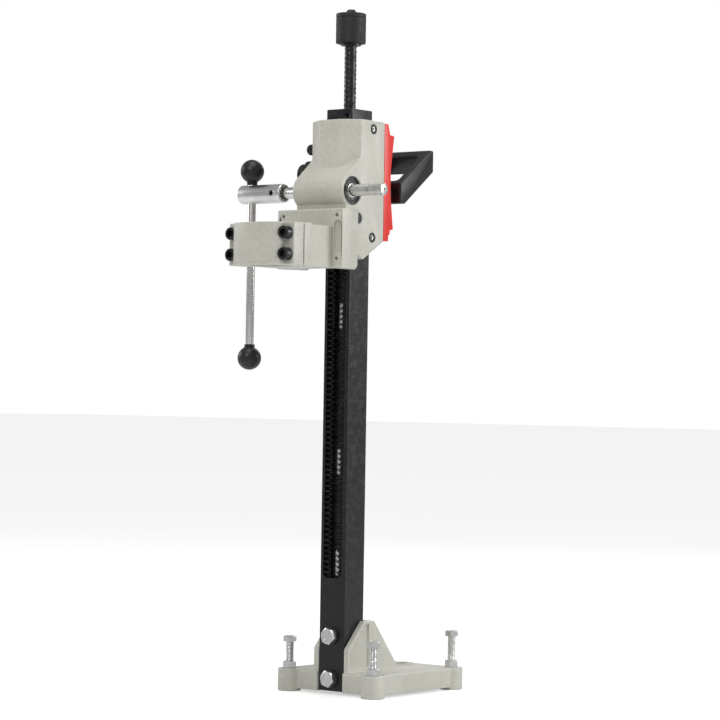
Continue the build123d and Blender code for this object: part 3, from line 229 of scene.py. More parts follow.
def buildHammered():
    group, entry, leave = newGroup(
        "hammeredPaint",
        [("Scale", "NodeSocketFloat", 420.0)],
        [("Height", "NodeSocketFloat"), ("Speckle", "NodeSocketFloat")],
    )
    place = addNode(group, "ShaderNodeTexCoord")
    cells = addNode(group, "ShaderNodeTexVoronoi", {"feature": "SMOOTH_F1"}, {"Smoothness": 0.7})
    group.links.new(place.outputs["Object"], cells.inputs["Vector"])
    group.links.new(entry.outputs["Scale"], cells.inputs["Scale"])
    fineScale = mathNode(group, "MULTIPLY", entry.outputs["Scale"], 2.3)
    coarseScale = mathNode(group, "MULTIPLY", entry.outputs["Scale"], 0.32)
    fine = noiseNode(group, place.outputs["Object"], fineScale, 2.0)
    coarse = noiseNode(group, place.outputs["Object"], coarseScale, 3.0)
    dimples = mathNode(group, "MULTIPLY", cells.outputs["Distance"], 0.9)
    withFine = mathNode(group, "ADD", dimples, mathNode(group, "MULTIPLY", fine, 0.35))
    height = mathNode(group, "ADD", withFine, mathNode(group, "MULTIPLY", coarse, 0.55))
    group.links.new(height, leave.inputs["Height"])
    group.links.new(rampNode(group, fine, 0.38, 0.68), leave.inputs["Speckle"])
    return group


# Edge masks rounded edges and Chips masks wear patches on them; the grey paint lightens Edge as a
# painted highlight, the other finishes as wear
def buildEdgeMasks():
    group, entry, leave = newGroup(
        "edgeWear",
        [("Radius", "NodeSocketFloat", 0.0012), ("Patch Scale", "NodeSocketFloat", 60.0)],
        [("Edge", "NodeSocketFloat"), ("Chips", "NodeSocketFloat")],
    )
    place = addNode(group, "ShaderNodeTexCoord")
    surface = addNode(group, "ShaderNodeNewGeometry")
    rounded = addNode(group, "ShaderNodeBevel", {"samples": 4})
    group.links.new(entry.outputs["Radius"], rounded.inputs["Radius"])
    compare = addNode(group, "ShaderNodeVectorMath", {"operation": "DOT_PRODUCT"})
    group.links.new(rounded.outputs["Normal"], compare.inputs[0])
    group.links.new(surface.outputs["True Normal"], compare.inputs[1])
    sharp = mathNode(group, "SUBTRACT", 1.0, compare.outputs["Value"], clamp=True)
    edge = rampNode(group, sharp, 0.01, 0.16)
    patches = noiseNode(group, place.outputs["Object"], entry.outputs["Patch Scale"], 5.0, 0.62)
    chips = mathNode(group, "MULTIPLY", edge, rampNode(group, patches, 0.56, 0.68))
    group.links.new(edge, leave.inputs["Edge"])
    group.links.new(chips, leave.inputs["Chips"])
    return group


def buildGrime():
    group, entry, leave = newGroup(
        "shopGrime",
        [("Scale", "NodeSocketFloat", 14.0)],
        [("Blotch", "NodeSocketFloat"), ("Dust", "NodeSocketFloat"), ("Smudge", "NodeSocketFloat")],
    )
    place = addNode(group, "ShaderNodeTexCoord")
    surface = addNode(group, "ShaderNodeNewGeometry")
    blotch = noiseNode(group, place.outputs["Object"], entry.outputs["Scale"], 5.0, 0.6)
    smudgeScale = mathNode(group, "MULTIPLY", entry.outputs["Scale"], 3.7)
    smudge = noiseNode(group, place.outputs["Object"], smudgeScale, 6.0, 0.7)
    parts = addNode(group, "ShaderNodeSeparateXYZ")
    group.links.new(surface.outputs["True Normal"], parts.inputs[0])
    upward = rampNode(group, parts.outputs["Z"], 0.3, 1.0)
    dust = mathNode(group, "MULTIPLY", upward, rampNode(group, smudge, 0.35, 0.7))
    group.links.new(rampNode(group, blotch, 0.3, 0.72), leave.inputs["Blotch"])
    group.links.new(dust, leave.inputs["Dust"])
    group.links.new(rampNode(group, smudge, 0.42, 0.7), leave.inputs["Smudge"])
    return group


def buildGrain():
    group, entry, leave = newGroup(
        "brushedGrain",
        [("Stretch", "NodeSocketVector", (40.0, 900.0, 900.0))],
        [("Height", "NodeSocketFloat"), ("Streak", "NodeSocketFloat")],
    )
    place = addNode(group, "ShaderNodeTexCoord")
    stretched = addNode(group, "ShaderNodeVectorMath", {"operation": "MULTIPLY"})
    group.links.new(place.outputs["Object"], stretched.inputs[0])
    group.links.new(entry.outputs["Stretch"], stretched.inputs[1])
    lines = noiseNode(group, stretched.outputs["Vector"], 1.0, 4.0, 0.65)
    group.links.new(lines, leave.inputs["Height"])
    group.links.new(rampNode(group, lines, 0.35, 0.65), leave.inputs["Streak"])
    return group


hammeredGroup = buildHammered()
edgeMaskGroup = buildEdgeMasks()
grimeGroup = buildGrime()
grainGroup = buildGrain()
print("shader groups built")

# finishes, one per slot of the record


def newFinish(name, constants):
    material = bpy.data.materials.new(name)
    material.use_nodes = True
    shader = material.node_tree.nodes["Principled BSDF"]
    for label, value in constants.items():
        shader.inputs[label].default_value = value
    return material, material.node_tree, shader


def placeGroup(tree, group, values=None):
    node = tree.nodes.new("ShaderNodeGroup")
    node.node_tree = group
    for label, value in (values or {}).items():
        node.inputs[label].default_value = value
    return node


def mixColours(tree, factor, first, second):
    node = addNode(tree, "ShaderNodeMix", {"data_type": "RGBA"})
    tree.links.new(factor, node.inputs[0])
    for index, colour in ((6, first), (7, second)):
        if isinstance(colour, tuple):
            node.inputs[index].default_value = (*colour, 1)
        else:
            tree.links.new(colour, node.inputs[index])
    return node.outputs[2]


def addBump(tree, shader, height, strength, distance):
    bump = addNode(tree, "ShaderNodeBump", values={"Strength": strength, "Distance": distance})
    tree.links.new(height, bump.inputs["Height"])
    tree.links.new(bump.outputs["Normal"], shader.inputs["Normal"])


def setRoughness(tree, shader, grime, limits):
    low, high = limits
    roughness = rampNode(tree, grime.outputs["Smudge"], 0.0, 1.0, low, high)
    tree.links.new(roughness, shader.inputs["Roughness"])


paintLook = {
    "light": (0.545, 0.54, 0.482),
    "dark": (0.455, 0.45, 0.395),
    "speckle": (0.66, 0.655, 0.6),
    # edge: lighter tone for rounded edges, partly thinner paint and partly a painted highlight
    "edge": (0.70, 0.69, 0.64),
    "dust": (0.66, 0.645, 0.6),
    "chip": (0.30, 0.29, 0.26),
    "dimple": 330.0,  # dimples to the metre
    "dimpleDepth": 0.00042,
    "roughness": (0.40, 0.54),
}


def greyHammered(name, look):
    material, tree, shader = newFinish(name, {"Specular IOR Level": 0.42, "Coat Roughness": 0.3})
    hammered = placeGroup(tree, hammeredGroup, {"Scale": look["dimple"]})
    # a wide edge radius, so the painted edge highlight takes in the bevelled rounding
    edgeMasks = placeGroup(tree, edgeMaskGroup, {"Radius": 0.0026, "Patch Scale": 85.0})
    grime = placeGroup(tree, grimeGroup, {"Scale": 16.0})
    base = mixColours(tree, grime.outputs["Blotch"], look["dark"], look["light"])
    flecks = mathNode(tree, "MULTIPLY", hammered.outputs["Speckle"], 0.7)
    flecked = mixColours(tree, flecks, base, look["speckle"])
    dusty = mathNode(tree, "MULTIPLY", grime.outputs["Dust"], 0.22)
    dusted = mixColours(tree, dusty, flecked, look["dust"])
    # rounded edges lightened towards the edge tone: partly thinner paint, partly a painted highlight
    thinPaintAndHighlight = mathNode(tree, "MULTIPLY", edgeMasks.outputs["Edge"], 0.55)
    thinnedAndHighlighted = mixColours(tree, thinPaintAndHighlight, dusted, look["edge"])
    chips = mathNode(tree, "MULTIPLY", edgeMasks.outputs["Chips"], 0.5)
    tree.links.new(mixColours(tree, chips, thinnedAndHighlighted, look["chip"]), shader.inputs["Base Color"])
    setRoughness(tree, shader, grime, look["roughness"])
    addBump(tree, shader, hammered.outputs["Height"], 0.7, look["dimpleDepth"])
    return material


blackPaint = {
    "base": (0.0038, 0.004, 0.0046),
    "scuff": (0.016, 0.0165, 0.018),
    "bare": (0.16, 0.155, 0.15),
}

blackLooks = {
    "black_column": {**blackPaint, "name": "satinBlackPaint", "roughness": (0.28, 0.42), "chips": 0.25},
    "black_spindle": {**blackPaint, "name": "blackOxide", "roughness": (0.34, 0.5), "chips": 0.5},
    "black_steel": {
        **blackPaint,
        "name": "blackScrewSteel",
        "scuff": (0.05, 0.05, 0.052),
        "roughness": (0.3, 0.44),
        "chips": 0.6,
    },
}


def satinBlack(look):
    material, tree, shader = newFinish(look["name"], {"Specular IOR Level": 0.5})
    hammered = placeGroup(tree, hammeredGroup, {"Scale": 900.0})
    edgeMasks = placeGroup(tree, edgeMaskGroup, {"Radius": 0.0009, "Patch Scale": 120.0})
    grime = placeGroup(tree, grimeGroup, {"Scale": 26.0})
    rubbed = mathNode(tree, "MULTIPLY", grime.outputs["Smudge"], 0.35)
    scuffed = mixColours(tree, rubbed, look["base"], look["scuff"])
    chips = mathNode(tree, "MULTIPLY", edgeMasks.outputs["Chips"], look["chips"])
    tree.links.new(mixColours(tree, chips, scuffed, look["bare"]), shader.inputs["Base Color"])
    setRoughness(tree, shader, grime, look["roughness"])
    addBump(tree, shader, hammered.outputs["Height"], 0.3, 0.00007)
    return material


steelLooks = {
    "bright_steel": {
        "name": "groundSteel",
        "bright": (0.78, 0.775, 0.765),
        "dull": (0.68, 0.675, 0.66),
        "roughness": (0.24, 0.32),
        "stretch": (90.0, 90.0, 30.0),
        "grainDepth": 0.000002,
    },
    "zinc_steel": {
        "name": "zincPlate",
        "bright": (0.76, 0.765, 0.76),
        "dull": (0.64, 0.65, 0.645),
        "roughness": (0.3, 0.4),
        "stretch": (30.0, 30.0, 30.0),
        "grainDepth": 0.000002,
    },
    "gear_steel": {
        "name": "gearSteel",
        "bright": (0.46, 0.45, 0.42),
        "dull": (0.28, 0.27, 0.25),
        "roughness": (0.28, 0.42),
        "stretch": (70.0, 900.0, 900.0),
        "grainDepth": 0.000006,
    },
    # bearing rings darker than bare steel: partly their own dark finish, partly painted shade of the
    # recess the bearing sits in
    "bearing_steel": {
        "name": "bearingSteel",
        "bright": (0.26, 0.26, 0.25),
        "dull": (0.13, 0.13, 0.125),
        "roughness": (0.16, 0.28),
        "stretch": (30.0, 500.0, 500.0),
        "grainDepth": 0.000006,
    },
}


def bareSteel(look):
    material, tree, shader = newFinish(look["name"], {"Metallic": 1.0})
    grain = placeGroup(tree, grainGroup, {"Stretch": look["stretch"]})
    grime = placeGroup(tree, grimeGroup, {"Scale": 9.0})
    streaked = mixColours(tree, grain.outputs["Streak"], look["dull"], look["bright"])
    stained = mathNode(tree, "MULTIPLY", grime.outputs["Smudge"], 0.25)
    tree.links.new(mixColours(tree, stained, streaked, look["dull"]), shader.inputs["Base Color"])
    setRoughness(tree, shader, grime, look["roughness"])
    addBump(tree, shader, grain.outputs["Height"], 0.3, look["grainDepth"])
    return material


mouldedLooks = {
    "black_plastic": {
        "name": "blackPlastic",
        "base": (0.006, 0.006, 0.007),
        "worn": (0.024, 0.024, 0.026),
        "roughness": (0.36, 0.5),
        "grain": 1100.0,
        "grainDepth": 0.00005,
        "edgeWear": 0.3,
    },
    "black_rubber": {
        "name": "blackRubber",
        "base": (0.009, 0.009, 0.009),
        "worn": (0.028, 0.027, 0.026),
        "roughness": (0.55, 0.72),
        "grain": 700.0,
        "grainDepth": 0.00008,
        "edgeWear": 0.25,
    },
    "seal_rubber": {
        "name": "sealRubber",
        "base": (0.01, 0.01, 0.01),
        "worn": (0.025, 0.025, 0.025),
        "roughness": (0.4, 0.55),
        "grain": 900.0,
        "grainDepth": 0.00004,
        "edgeWear": 0.2,
    },
    "guide_plastic": {
        "name": "guidePlastic",
        "base": (0.62, 0.58, 0.47),
        "worn": (0.74, 0.71, 0.62),
        "roughness": (0.4, 0.55),
        "grain": 800.0,
        "grainDepth": 0.00004,
        "edgeWear": 0.3,
    },
    "red_cover": {
        "name": "redPlastic",
        "base": (0.70, 0.03, 0.022),
        "worn": (0.78, 0.06, 0.045),
        "roughness": (0.3, 0.42),
        "grain": 900.0,
        "grainDepth": 0.00005,
        "edgeWear": 0.5,
    },
}


def moulded(look):
    material, tree, shader = newFinish(look["name"], {"Specular IOR Level": 0.45})
    hammered = placeGroup(tree, hammeredGroup, {"Scale": look["grain"]})
    edgeMasks = placeGroup(tree, edgeMaskGroup, {"Radius": 0.0008, "Patch Scale": 70.0})
    grime = placeGroup(tree, grimeGroup, {"Scale": 30.0})
    bleached = mathNode(tree, "MULTIPLY", grime.outputs["Blotch"], 0.35)
    faded = mixColours(tree, bleached, look["base"], look["worn"])
    edges = mathNode(tree, "MULTIPLY", edgeMasks.outputs["Edge"], look["edgeWear"])
    tree.links.new(mixColours(tree, edges, faded, look["worn"]), shader.inputs["Base Color"])
    setRoughness(tree, shader, grime, look["roughness"])
    addBump(tree, shader, hammered.outputs["Height"], 0.4, look["grainDepth"])
    return material


rackLook = {
    "name": "oiledRackSteel",
    "oil": (0.012, 0.012, 0.013),
    "thinOil": (0.035, 0.034, 0.033),
    "tips": (0.2, 0.195, 0.19),
    "roughness": (0.26, 0.45),
    "stretch": (60.0, 900.0, 900.0),
    "grainDepth": 0.00004,
}


def oiledRack(look):
    material, tree, shader = newFinish(look["name"], {"Metallic": 0.75})
    edgeMasks = placeGroup(tree, edgeMaskGroup, {"Radius": 0.0007, "Patch Scale": 200.0})
    grime = placeGroup(tree, grimeGroup, {"Scale": 60.0})
    oily = mixColours(tree, grime.outputs["Blotch"], look["oil"], look["thinOil"])
    polished = mathNode(tree, "MULTIPLY", edgeMasks.outputs["Edge"], 0.45)
    tree.links.new(mixColours(tree, polished, oily, look["tips"]), shader.inputs["Base Color"])
    setRoughness(tree, shader, grime, look["roughness"])
    grain = placeGroup(tree, grainGroup, {"Stretch": look["stretch"]})
    addBump(tree, shader, grain.outputs["Height"], 0.3, look["grainDepth"])
    return material


finishes = {
    "grey_hammered": greyHammered("greyHammered", paintLook),
    "grey_plate": greyHammered("greyPlate", {**paintLook, "dimple": 640.0}),
    **{slot: satinBlack(look) for slot, look in blackLooks.items()},
    "rack_steel": oiledRack(rackLook),
    **{slot: bareSteel(look) for slot, look in steelLooks.items()},
    **{slot: moulded(look) for slot, look in mouldedLooks.items()},
}
print("finishes made:", len(finishes))

# helpers for the pieces

tiny = 0.00001  # how far from a plane a point may lie and still be on it
level = 0.99  # a face whose normal rises or drops by this much counts as level
slotOf = {row["node"]: row["material_slot"] for row in frame["record"]["subparts"]}
bodyOf = {
    node: body
    for body, members in frame["record"]["behaviour"]["bodies"].items()
    for node in members
}


def paint(piece, slotName):
    piece.data.materials.clear()
    piece.data.materials.append(finishes[slotName])


def standFor(piece, *nodes):
    paint(piece, slotOf[nodes[0]])
    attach(piece, bodyOf[nodes[0]])
    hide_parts(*nodes)


def applyModifiers(piece):
    activate(piece)
    for name in [each.name for each in piece.modifiers]:
        bpy.ops.object.modifier_apply(modifier=name)


def settle(piece):
    activate(piece)
    bpy.ops.object.transform_apply(location=True, rotation=True, scale=True)


def smooth(piece, degrees=32):
    activate(piece)
    bpy.ops.object.shade_smooth_by_angle(angle=math.radians(degrees))


def joinPieces(pieces, name):
    activate(pieces[0])
    for each in pieces[1:]:
        each.select_set(True)
    bpy.context.view_layer.objects.active = pieces[0]
    if len(pieces) > 1:
        bpy.ops.object.join()
    joined = bpy.context.object
    joined.name = name
    settle(joined)
    return joined


def copyAlong(piece, shifts):
    copies = []
    for shift in shifts:
        copy = piece.copy()
        copy.data = piece.data.copy()
        copy.location = Vector(copy.location) + Vector(shift)
        bpy.context.scene.collection.objects.link(copy)
        copies.append(copy)
    return copies


def pickNothing(piece, mode):
    activate(piece)
    bpy.ops.object.mode_set(mode="EDIT")
    bpy.ops.mesh.select_mode(type=mode)
    bpy.ops.mesh.select_all(action="DESELECT")
    bpy.ops.object.mode_set(mode="OBJECT")


def pickFaces(piece, test):
    pickNothing(piece, "FACE")
    for face in piece.data.polygons:
        face.select = bool(test(face.center, face.normal))
    bpy.ops.object.mode_set(mode="EDIT")


def pickEdges(piece, test):
    pickNothing(piece, "EDGE")
    points = piece.data.vertices
    for edge in piece.data.edges:
        edge.select = bool(test(points[edge.vertices[0]].co, points[edge.vertices[1]].co))
    bpy.ops.object.mode_set(mode="EDIT")


def endEdit():
    bpy.ops.object.mode_set(mode="OBJECT")


def cleanMesh(piece, mergeDistance, flatAngle):  # merges doubles and takes out lines across flat faces
    activate(piece)
    bpy.ops.object.mode_set(mode="EDIT")
    bpy.ops.mesh.select_all(action="SELECT")
    bpy.ops.mesh.remove_doubles(threshold=mergeDistance)
    bpy.ops.mesh.dissolve_limited(angle_limit=math.radians(flatAngle))
    endEdit()


def centreOf(node):
    low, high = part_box(node)
    return (low + high) / 2


def addCylinder(name, radius, low, high, sides, place=(0, 0)):
    deselectAll()
    middle = (place[0], place[1], (low + high) / 2)
    bpy.ops.mesh.primitive_cylinder_add(vertices=sides, radius=radius, depth=high - low, location=middle)
    piece = bpy.context.object
    piece.name = name
    settle(piece)
    return piece


def extrudeBy(shift):
    bpy.ops.mesh.extrude_region_move(TRANSFORM_OT_translate={"value": shift})


def towardsFront(place):  # turns a piece made along +Z to point along -Y at place
    return Matrix.Translation(place) @ Matrix.Rotation(math.radians(90), 4, "X")


def moveTo(piece, matrix):
    piece.matrix_world = matrix
    bpy.context.view_layer.update()
    settle(piece)


# castings, plates and other pieces with softened edges

roundedPieces = {
    # piece: CAD node, edge width in mm, segments, least edge angle
    "baseBody": ("base_casting", 1.6, 3, 50),
    "carriageBody": ("carriage_casting", 1.6, 3, 24),
    "collarBack": ("collar_body", 1.2, 3, 24),
    "collarFront": ("collar_cap", 1.2, 3, 24),
    "capBlock": ("column_cap", 0.5, 2, 24),
    "carryingHandle": ("carry_handle", 2.6, 4, 24),
    "redCover": ("back_cover", 0.9, 3, 24),
    "bridgePlate": ("rear_bridge", 0.6, 2, 24),
    "hubSleeve": ("lever_hub", 0.4, 2, 24),
    "driveShaft": ("feed_shaft", 0.3, 2, 24),
    "leverBar": ("lever_rod", 0.8, 3, 24),
    "lockGrip": ("lock_knob", 1.2, 3, 24),
    "sideKnob": ("side_screw", 0.8, 3, 24),
    "boltWashers": ("column_washers", 0.25, 2, 24),
    "spindleRing": ("foot_ring", 0.5, 2, 24),
    "guideCollars": ("guide_rings", 0.4, 2, 24),
    "guideAdjusters": ("guide_screws", 0.3, 2, 24),
    "hubGrubScrew": ("hub_screw", 0.25, 2, 24),
    "counterPinEnds": ("countershaft", 0.5, 2, 24),
}


def roundedCopy(name, node, width, segments, leastAngle):
    source = frame["nodes"][node]
    piece = bpy.data.objects.new(name, source.data.copy())
    bpy.context.scene.collection.objects.link(piece)
    cleanMesh(piece, 0.000003, 0.4)
    bevel = piece.modifiers.new("edges", "BEVEL")
    bevel.width = width * mm
    bevel.segments = segments
    bevel.limit_method = "ANGLE"
    bevel.angle_limit = math.radians(leastAngle)
    bevel.loop_slide = False
    bevel.use_clamp_overlap = False
    applyModifiers(piece)
    low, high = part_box(node)
    for point in piece.data.vertices:  # the odd bevel corner is pulled back to the node's box
        point.co = Vector(min(max(point.co[axis], low[axis]), high[axis]) for axis in range(3))
    smooth(piece, 24)
    standFor(piece, node)
    return piece


for pieceName, (node, width, segments, leastAngle) in roundedPieces.items():
    roundedCopy(pieceName, node, width, segments, leastAngle)
print("softened pieces made:", len(roundedPieces))

# threads and hexagon heads

corners = ("front_left", "front_right", "rear_right", "rear_left")

levelBolt = {
    "radius": 6.0,
    "pitch": 1.75,
    "thread": 1.0,
    "sides": 20,
    "ringsPerTurn": 5,
    "flats": 18.0,
    "head": 8.0,
    "rim": 3.2,
    "dish": 0.5,
    "lap": 0.4,  # how far the rod runs into the head
}
levelNut = {"flats": 18.0, "rim": 2.4, "lip": 0.6, "lipDrop": 0.7}
columnBolt = {
    "flats": 22.0,
    "rim": 4.2,
    "dish": 0.6,
    "shank": 7.0,
    "lap": 1.0,
    "turn": 0.26,  # radians
    "cornerLean": 15.0,  # degrees from the highest corner to straight up
}
jackScrew = {"radius": 9.0, "pitch": 4.0, "thread": 1.1, "sides": 32, "ringsPerTurn": 8}
crownShare = 0.485  # radius of a hexagon head's round crown, as a share of its width over flats


def threadedRod(name, place, low, high, look):
    rod = addCylinder(name, look["radius"] * mm, low, high, look["sides"], place)
    turns = (high - low) / (look["pitch"] * mm)
    pickEdges(rod, lambda a, b: abs(a.z - b.z) > 0.5 * (high - low))
    bpy.ops.mesh.subdivide(number_cuts=max(3, round(turns * look["ringsPerTurn"])))
    endEdit()
    for point in rod.data.vertices:
        dx, dy = point.co.x - place[0], point.co.y - place[1]
        atEnd = min(point.co.z - low, high - point.co.z) < 5 * tiny
        phase = ((point.co.z - low) / (look["pitch"] * mm) - math.atan2(dy, dx) / math.tau) % 1
        crest = min(1.0, 3.2 * abs(phase - 0.5))
        sink = 1.0 if atEnd else 1.0 - crest
        share = 1 - sink * look["thread"] / look["radius"]
        point.co.x, point.co.y = place[0] + dx * share, place[1] + dy * share
    return rod


def cornerRadius(flats):
    return flats * mm / 2 / math.cos(math.radians(30))


def hexBlock(name, place, low, high, flats, turn, bothEnds=False):
    block = addCylinder(name, cornerRadius(flats), low, high, 6, place)
    pivot = Matrix.Translation((*place, 0))
    block.data.transform(pivot @ Matrix.Rotation(turn, 4, "Z") @ pivot.inverted())
    height = high - low
    for topEnd in (True, False) if bothEnds else (True,):  # a cone's wall rounds off the corners
        deselectAll()
        crown = crownShare * flats * mm
        spread = crown + 2 * height * math.sqrt(3)
        middle = high - height if topEnd else low + height
        bpy.ops.mesh.primitive_cone_add(
            vertices=48,
            radius1=spread if topEnd else crown,
            radius2=crown if topEnd else spread,
            depth=2 * height,
            location=(place[0], place[1], middle),
        )
        cutter = bpy.context.object
        settle(cutter)
        crop = block.modifiers.new("chamfer", "BOOLEAN")
        crop.operation = "INTERSECT"
        crop.object = cutter
        applyModifiers(block)
        bpy.data.objects.remove(cutter)
    cleanMesh(block, 0.00006, 0.5)
    return block


def makeLevelBolt(name, node):
    low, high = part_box(node)
    place = ((low.x + high.x) / 2, (low.y + high.y) / 2)
    neck = high.z - levelBolt["head"] * mm
    head = hexBlock(name + "Head", place, neck, high.z, levelBolt["flats"], math.pi / 6)
    pickFaces(head, lambda centre, normal: normal.z > level)
    bpy.ops.mesh.inset(thickness=levelBolt["rim"] * mm)
    extrudeBy((0, 0, -levelBolt["dish"] * mm))
    endEdit()
    rod = threadedRod(name + "Rod", place, low.z, neck + levelBolt["lap"] * mm, levelBolt)
    bolt = joinPieces([head, rod], name)
    smooth(bolt, 28)
    standFor(bolt, node)


for corner in corners:
    words = "".join(word.capitalize() for word in corner.split("_"))
    makeLevelBolt("levelBolt" + words, "level_screw_" + corner)


def makeLevelNuts():
    low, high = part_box("level_nuts")
    nuts = []
    for corner in corners:
        middle = centreOf("level_screw_" + corner)
        place = (middle.x, middle.y)
        nut = hexBlock("nut" + corner, place, low.z, high.z, levelNut["flats"], math.pi / 6, True)
        pickFaces(nut, lambda centre, normal: abs(normal.z) > level)
        bpy.ops.mesh.inset(thickness=levelNut["rim"] * mm)
        bpy.ops.mesh.inset(thickness=levelNut["lip"] * mm, depth=-levelNut["lipDrop"] * mm)
        endEdit()
        nuts.append(nut)
    joined = joinPieces(nuts, "lockNuts")
    smooth(joined, 28)
    standFor(joined, "level_nuts")


def makeColumnBolts():
    low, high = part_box("column_bolts")
    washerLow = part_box("column_washers")[0]
    reach = washerLow.y - low.y
    bolts = []
    lean = math.radians(columnBolt["cornerLean"])
    spread = (high.z - low.z) / 2 - cornerRadius(columnBolt["flats"]) * math.cos(lean)
    for side in (-1, 1):
        place = (0, washerLow.y, (low.z + high.z) / 2 + side * spread)
        head = hexBlock("head", (0, 0), 0, reach, columnBolt["flats"], columnBolt["turn"])
        pickFaces(head, lambda centre, normal: normal.z > level)
        bpy.ops.mesh.inset(thickness=columnBolt["rim"] * mm)
        extrudeBy((0, 0, -columnBolt["dish"] * mm))
        endEdit()
        lap = columnBolt["lap"] * mm
        shank = addCylinder("shank", columnBolt["shank"] * mm, washerLow.y - high.y, lap, 32)
        both = joinPieces([head, shank], "columnBolt")
        moveTo(both, towardsFront(place))
        bolts.append(both)
    joined = joinPieces(bolts, "columnBoltPair")
    smooth(joined, 28)
    standFor(joined, "column_bolts")


def makeJackScrew():
    low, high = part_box("jack_spindle")
    rod = threadedRod("jackScrew", (0, 0), low.z, high.z, jackScrew)
    smooth(rod, 40)
    standFor(rod, "jack_spindle")


makeLevelNuts()
makeColumnBolts()
makeJackScrew()
print("threads, bolts and nuts made")

# socket screws

screwSets = {
    # sizes in mm; facing is -1 towards the front and 1 towards the back
    "collarScrews": {
        "node": "collar_bolts",
        "head": 9.0, "height": 12.0,
        "key": 10.0, "keyDepth": 6.0,
        "shank": 6.0, "edge": 0.9, "knurl": 0.16,
        "facing": -1,
        "columns": 2,
        "rows": 2,
    },
    "capGrubScrew": {
        "node": "cap_screw",
        "head": 4.5, "height": 7.0,
        "key": 4.6, "keyDepth": 4.0,
        "shank": 2.5, "edge": 0.4, "knurl": 0.0,
        "facing": -1,
        "columns": 1,
        "rows": 1,
    },
    "collarInnerScrews": {
        "node": "collar_mount_bolts",
        "head": 8.0, "height": 10.0,
        "key": 8.0, "keyDepth": 5.0,
        "shank": 5.0, "edge": 0.8, "knurl": 0.14,
        "facing": 1,
        "columns": 2,
        "rows": 2,
    },
    "bridgeScrews": {
        "node": "bridge_bolts",
        "head": 6.5, "height": 5.0,
        "key": 5.0, "keyDepth": 3.0,
        "shank": 4.0, "edge": 0.7, "knurl": 0.0,
        "facing": 1,
        "columns": 2,
        "rows": 2,
    },
    "handleScrews": {
        "node": "handle_bolts",
        "head": 6.5, "height": 8.0,
        "key": 6.0, "keyDepth": 4.0,
        "shank": 4.0, "edge": 0.7, "knurl": 0.12,
        "facing": 1,
        "columns": 2,
        "rows": 1,
    },
    "coverScrews": {
        "node": "cover_screws",
        "head": 4.5, "height": 2.5,
        "key": 3.0, "keyDepth": 1.8,
        "shank": 2.5, "edge": 0.8, "knurl": 0.0,
        "facing": 1,
        "columns": 2,
        "rows": 1,
    },
}


keyClearance = 1.18  # the round inset before it is drawn in to a hexagon, as a share of the key
shankLap = 0.4


def socketScrew(name, look, length):
    radius = look["head"] * mm
    top = look["height"] * mm
    head = addCylinder(name, radius, 0, top, 72)
    for index, point in enumerate(head.data.vertices):
        share = 1 - (look["knurl"] / look["head"]) * ((index // 2) % 2)
        point.co.x, point.co.y = point.co.x * share, point.co.y * share
    pickEdges(head, lambda a, b: min(a.z, b.z) > top - tiny)
    bpy.ops.mesh.bevel(offset=look["edge"] * mm, segments=3, affect="EDGES")
    endEdit()
    keyHalf = look["key"] * mm / 2

    def onTop(centre, normal):
        return normal.z > level and centre.xy.length < 0.2 * radius

    pickFaces(head, onTop)
    bpy.ops.mesh.inset(thickness=radius - look["edge"] * mm - keyClearance * keyHalf)
    endEdit()
    for face in head.data.polygons:
        if onTop(face.center, face.normal):
            for index in face.vertices:
                point = head.data.vertices[index].co
                angle = math.atan2(point.y, point.x)
                offset = (angle + math.pi / 6) % (math.pi / 3) - math.pi / 6
                reach = keyHalf / math.cos(offset)
                point.x, point.y = reach * math.cos(angle), reach * math.sin(angle)
    pickFaces(head, onTop)
    extrudeBy((0, 0, -look["keyDepth"] * mm))
    endEdit()
    pieces = [head]
    if length > 0:
        pieces.append(addCylinder(name + "Shank", look["shank"] * mm, -length, shankLap * mm, 28))
    return joinPieces(pieces, name)


def makeScrewSet(name, look):
    low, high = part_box(look["node"])
    radius = look["head"] * mm
    length = (high.y - low.y) - look["height"] * mm
    seat = low.y + look["height"] * mm if look["facing"] < 0 else high.y - look["height"] * mm
    acrossList = [low.x + radius, high.x - radius] if look["columns"] == 2 else [(low.x + high.x) / 2]
    heightList = [low.z + radius, high.z - radius] if look["rows"] == 2 else [(low.z + high.z) / 2]
    first = socketScrew(name, look, length)
    if look["facing"] > 0:
        first.data.transform(Matrix.Rotation(math.pi, 4, "X"))
    moveTo(first, towardsFront((acrossList[0], seat, heightList[0])))
    shifts = [
        (across - acrossList[0], 0, height - heightList[0])
        for across in acrossList
        for height in heightList
    ][1:]
    joined = joinPieces([first] + copyAlong(first, shifts), name)
    smooth(joined, 30)
    standFor(joined, look["node"])


for setName, look in screwSets.items():
    makeScrewSet(setName, look)
print("socket screws made")

# ball knobs and the ceiling foot

ballKnob = {
    "radius": 17.5,
    "neck": 7.6,
    "lip": 0.9,  # the ring left round the neck
    "rootStep": 0.2,
    "hubGap": 0.3,
    "seam": 0.18,
    "seamHalf": 0.6,
}
jackFoot = {
    "edge": 1.5,
    "lowStep": 2.5,
    "groove": 0.7,
    "grooveDrop": 5.5,
    "grooveHalf": 0.6,
    "tipRadius": 9.0,
    "tipTop": 5.7,
    "tipTaper": 0.68,
    "tipEdge": 0.8,
    "socketRadius": 9.4,
    "socketDepth": 18.0,
}


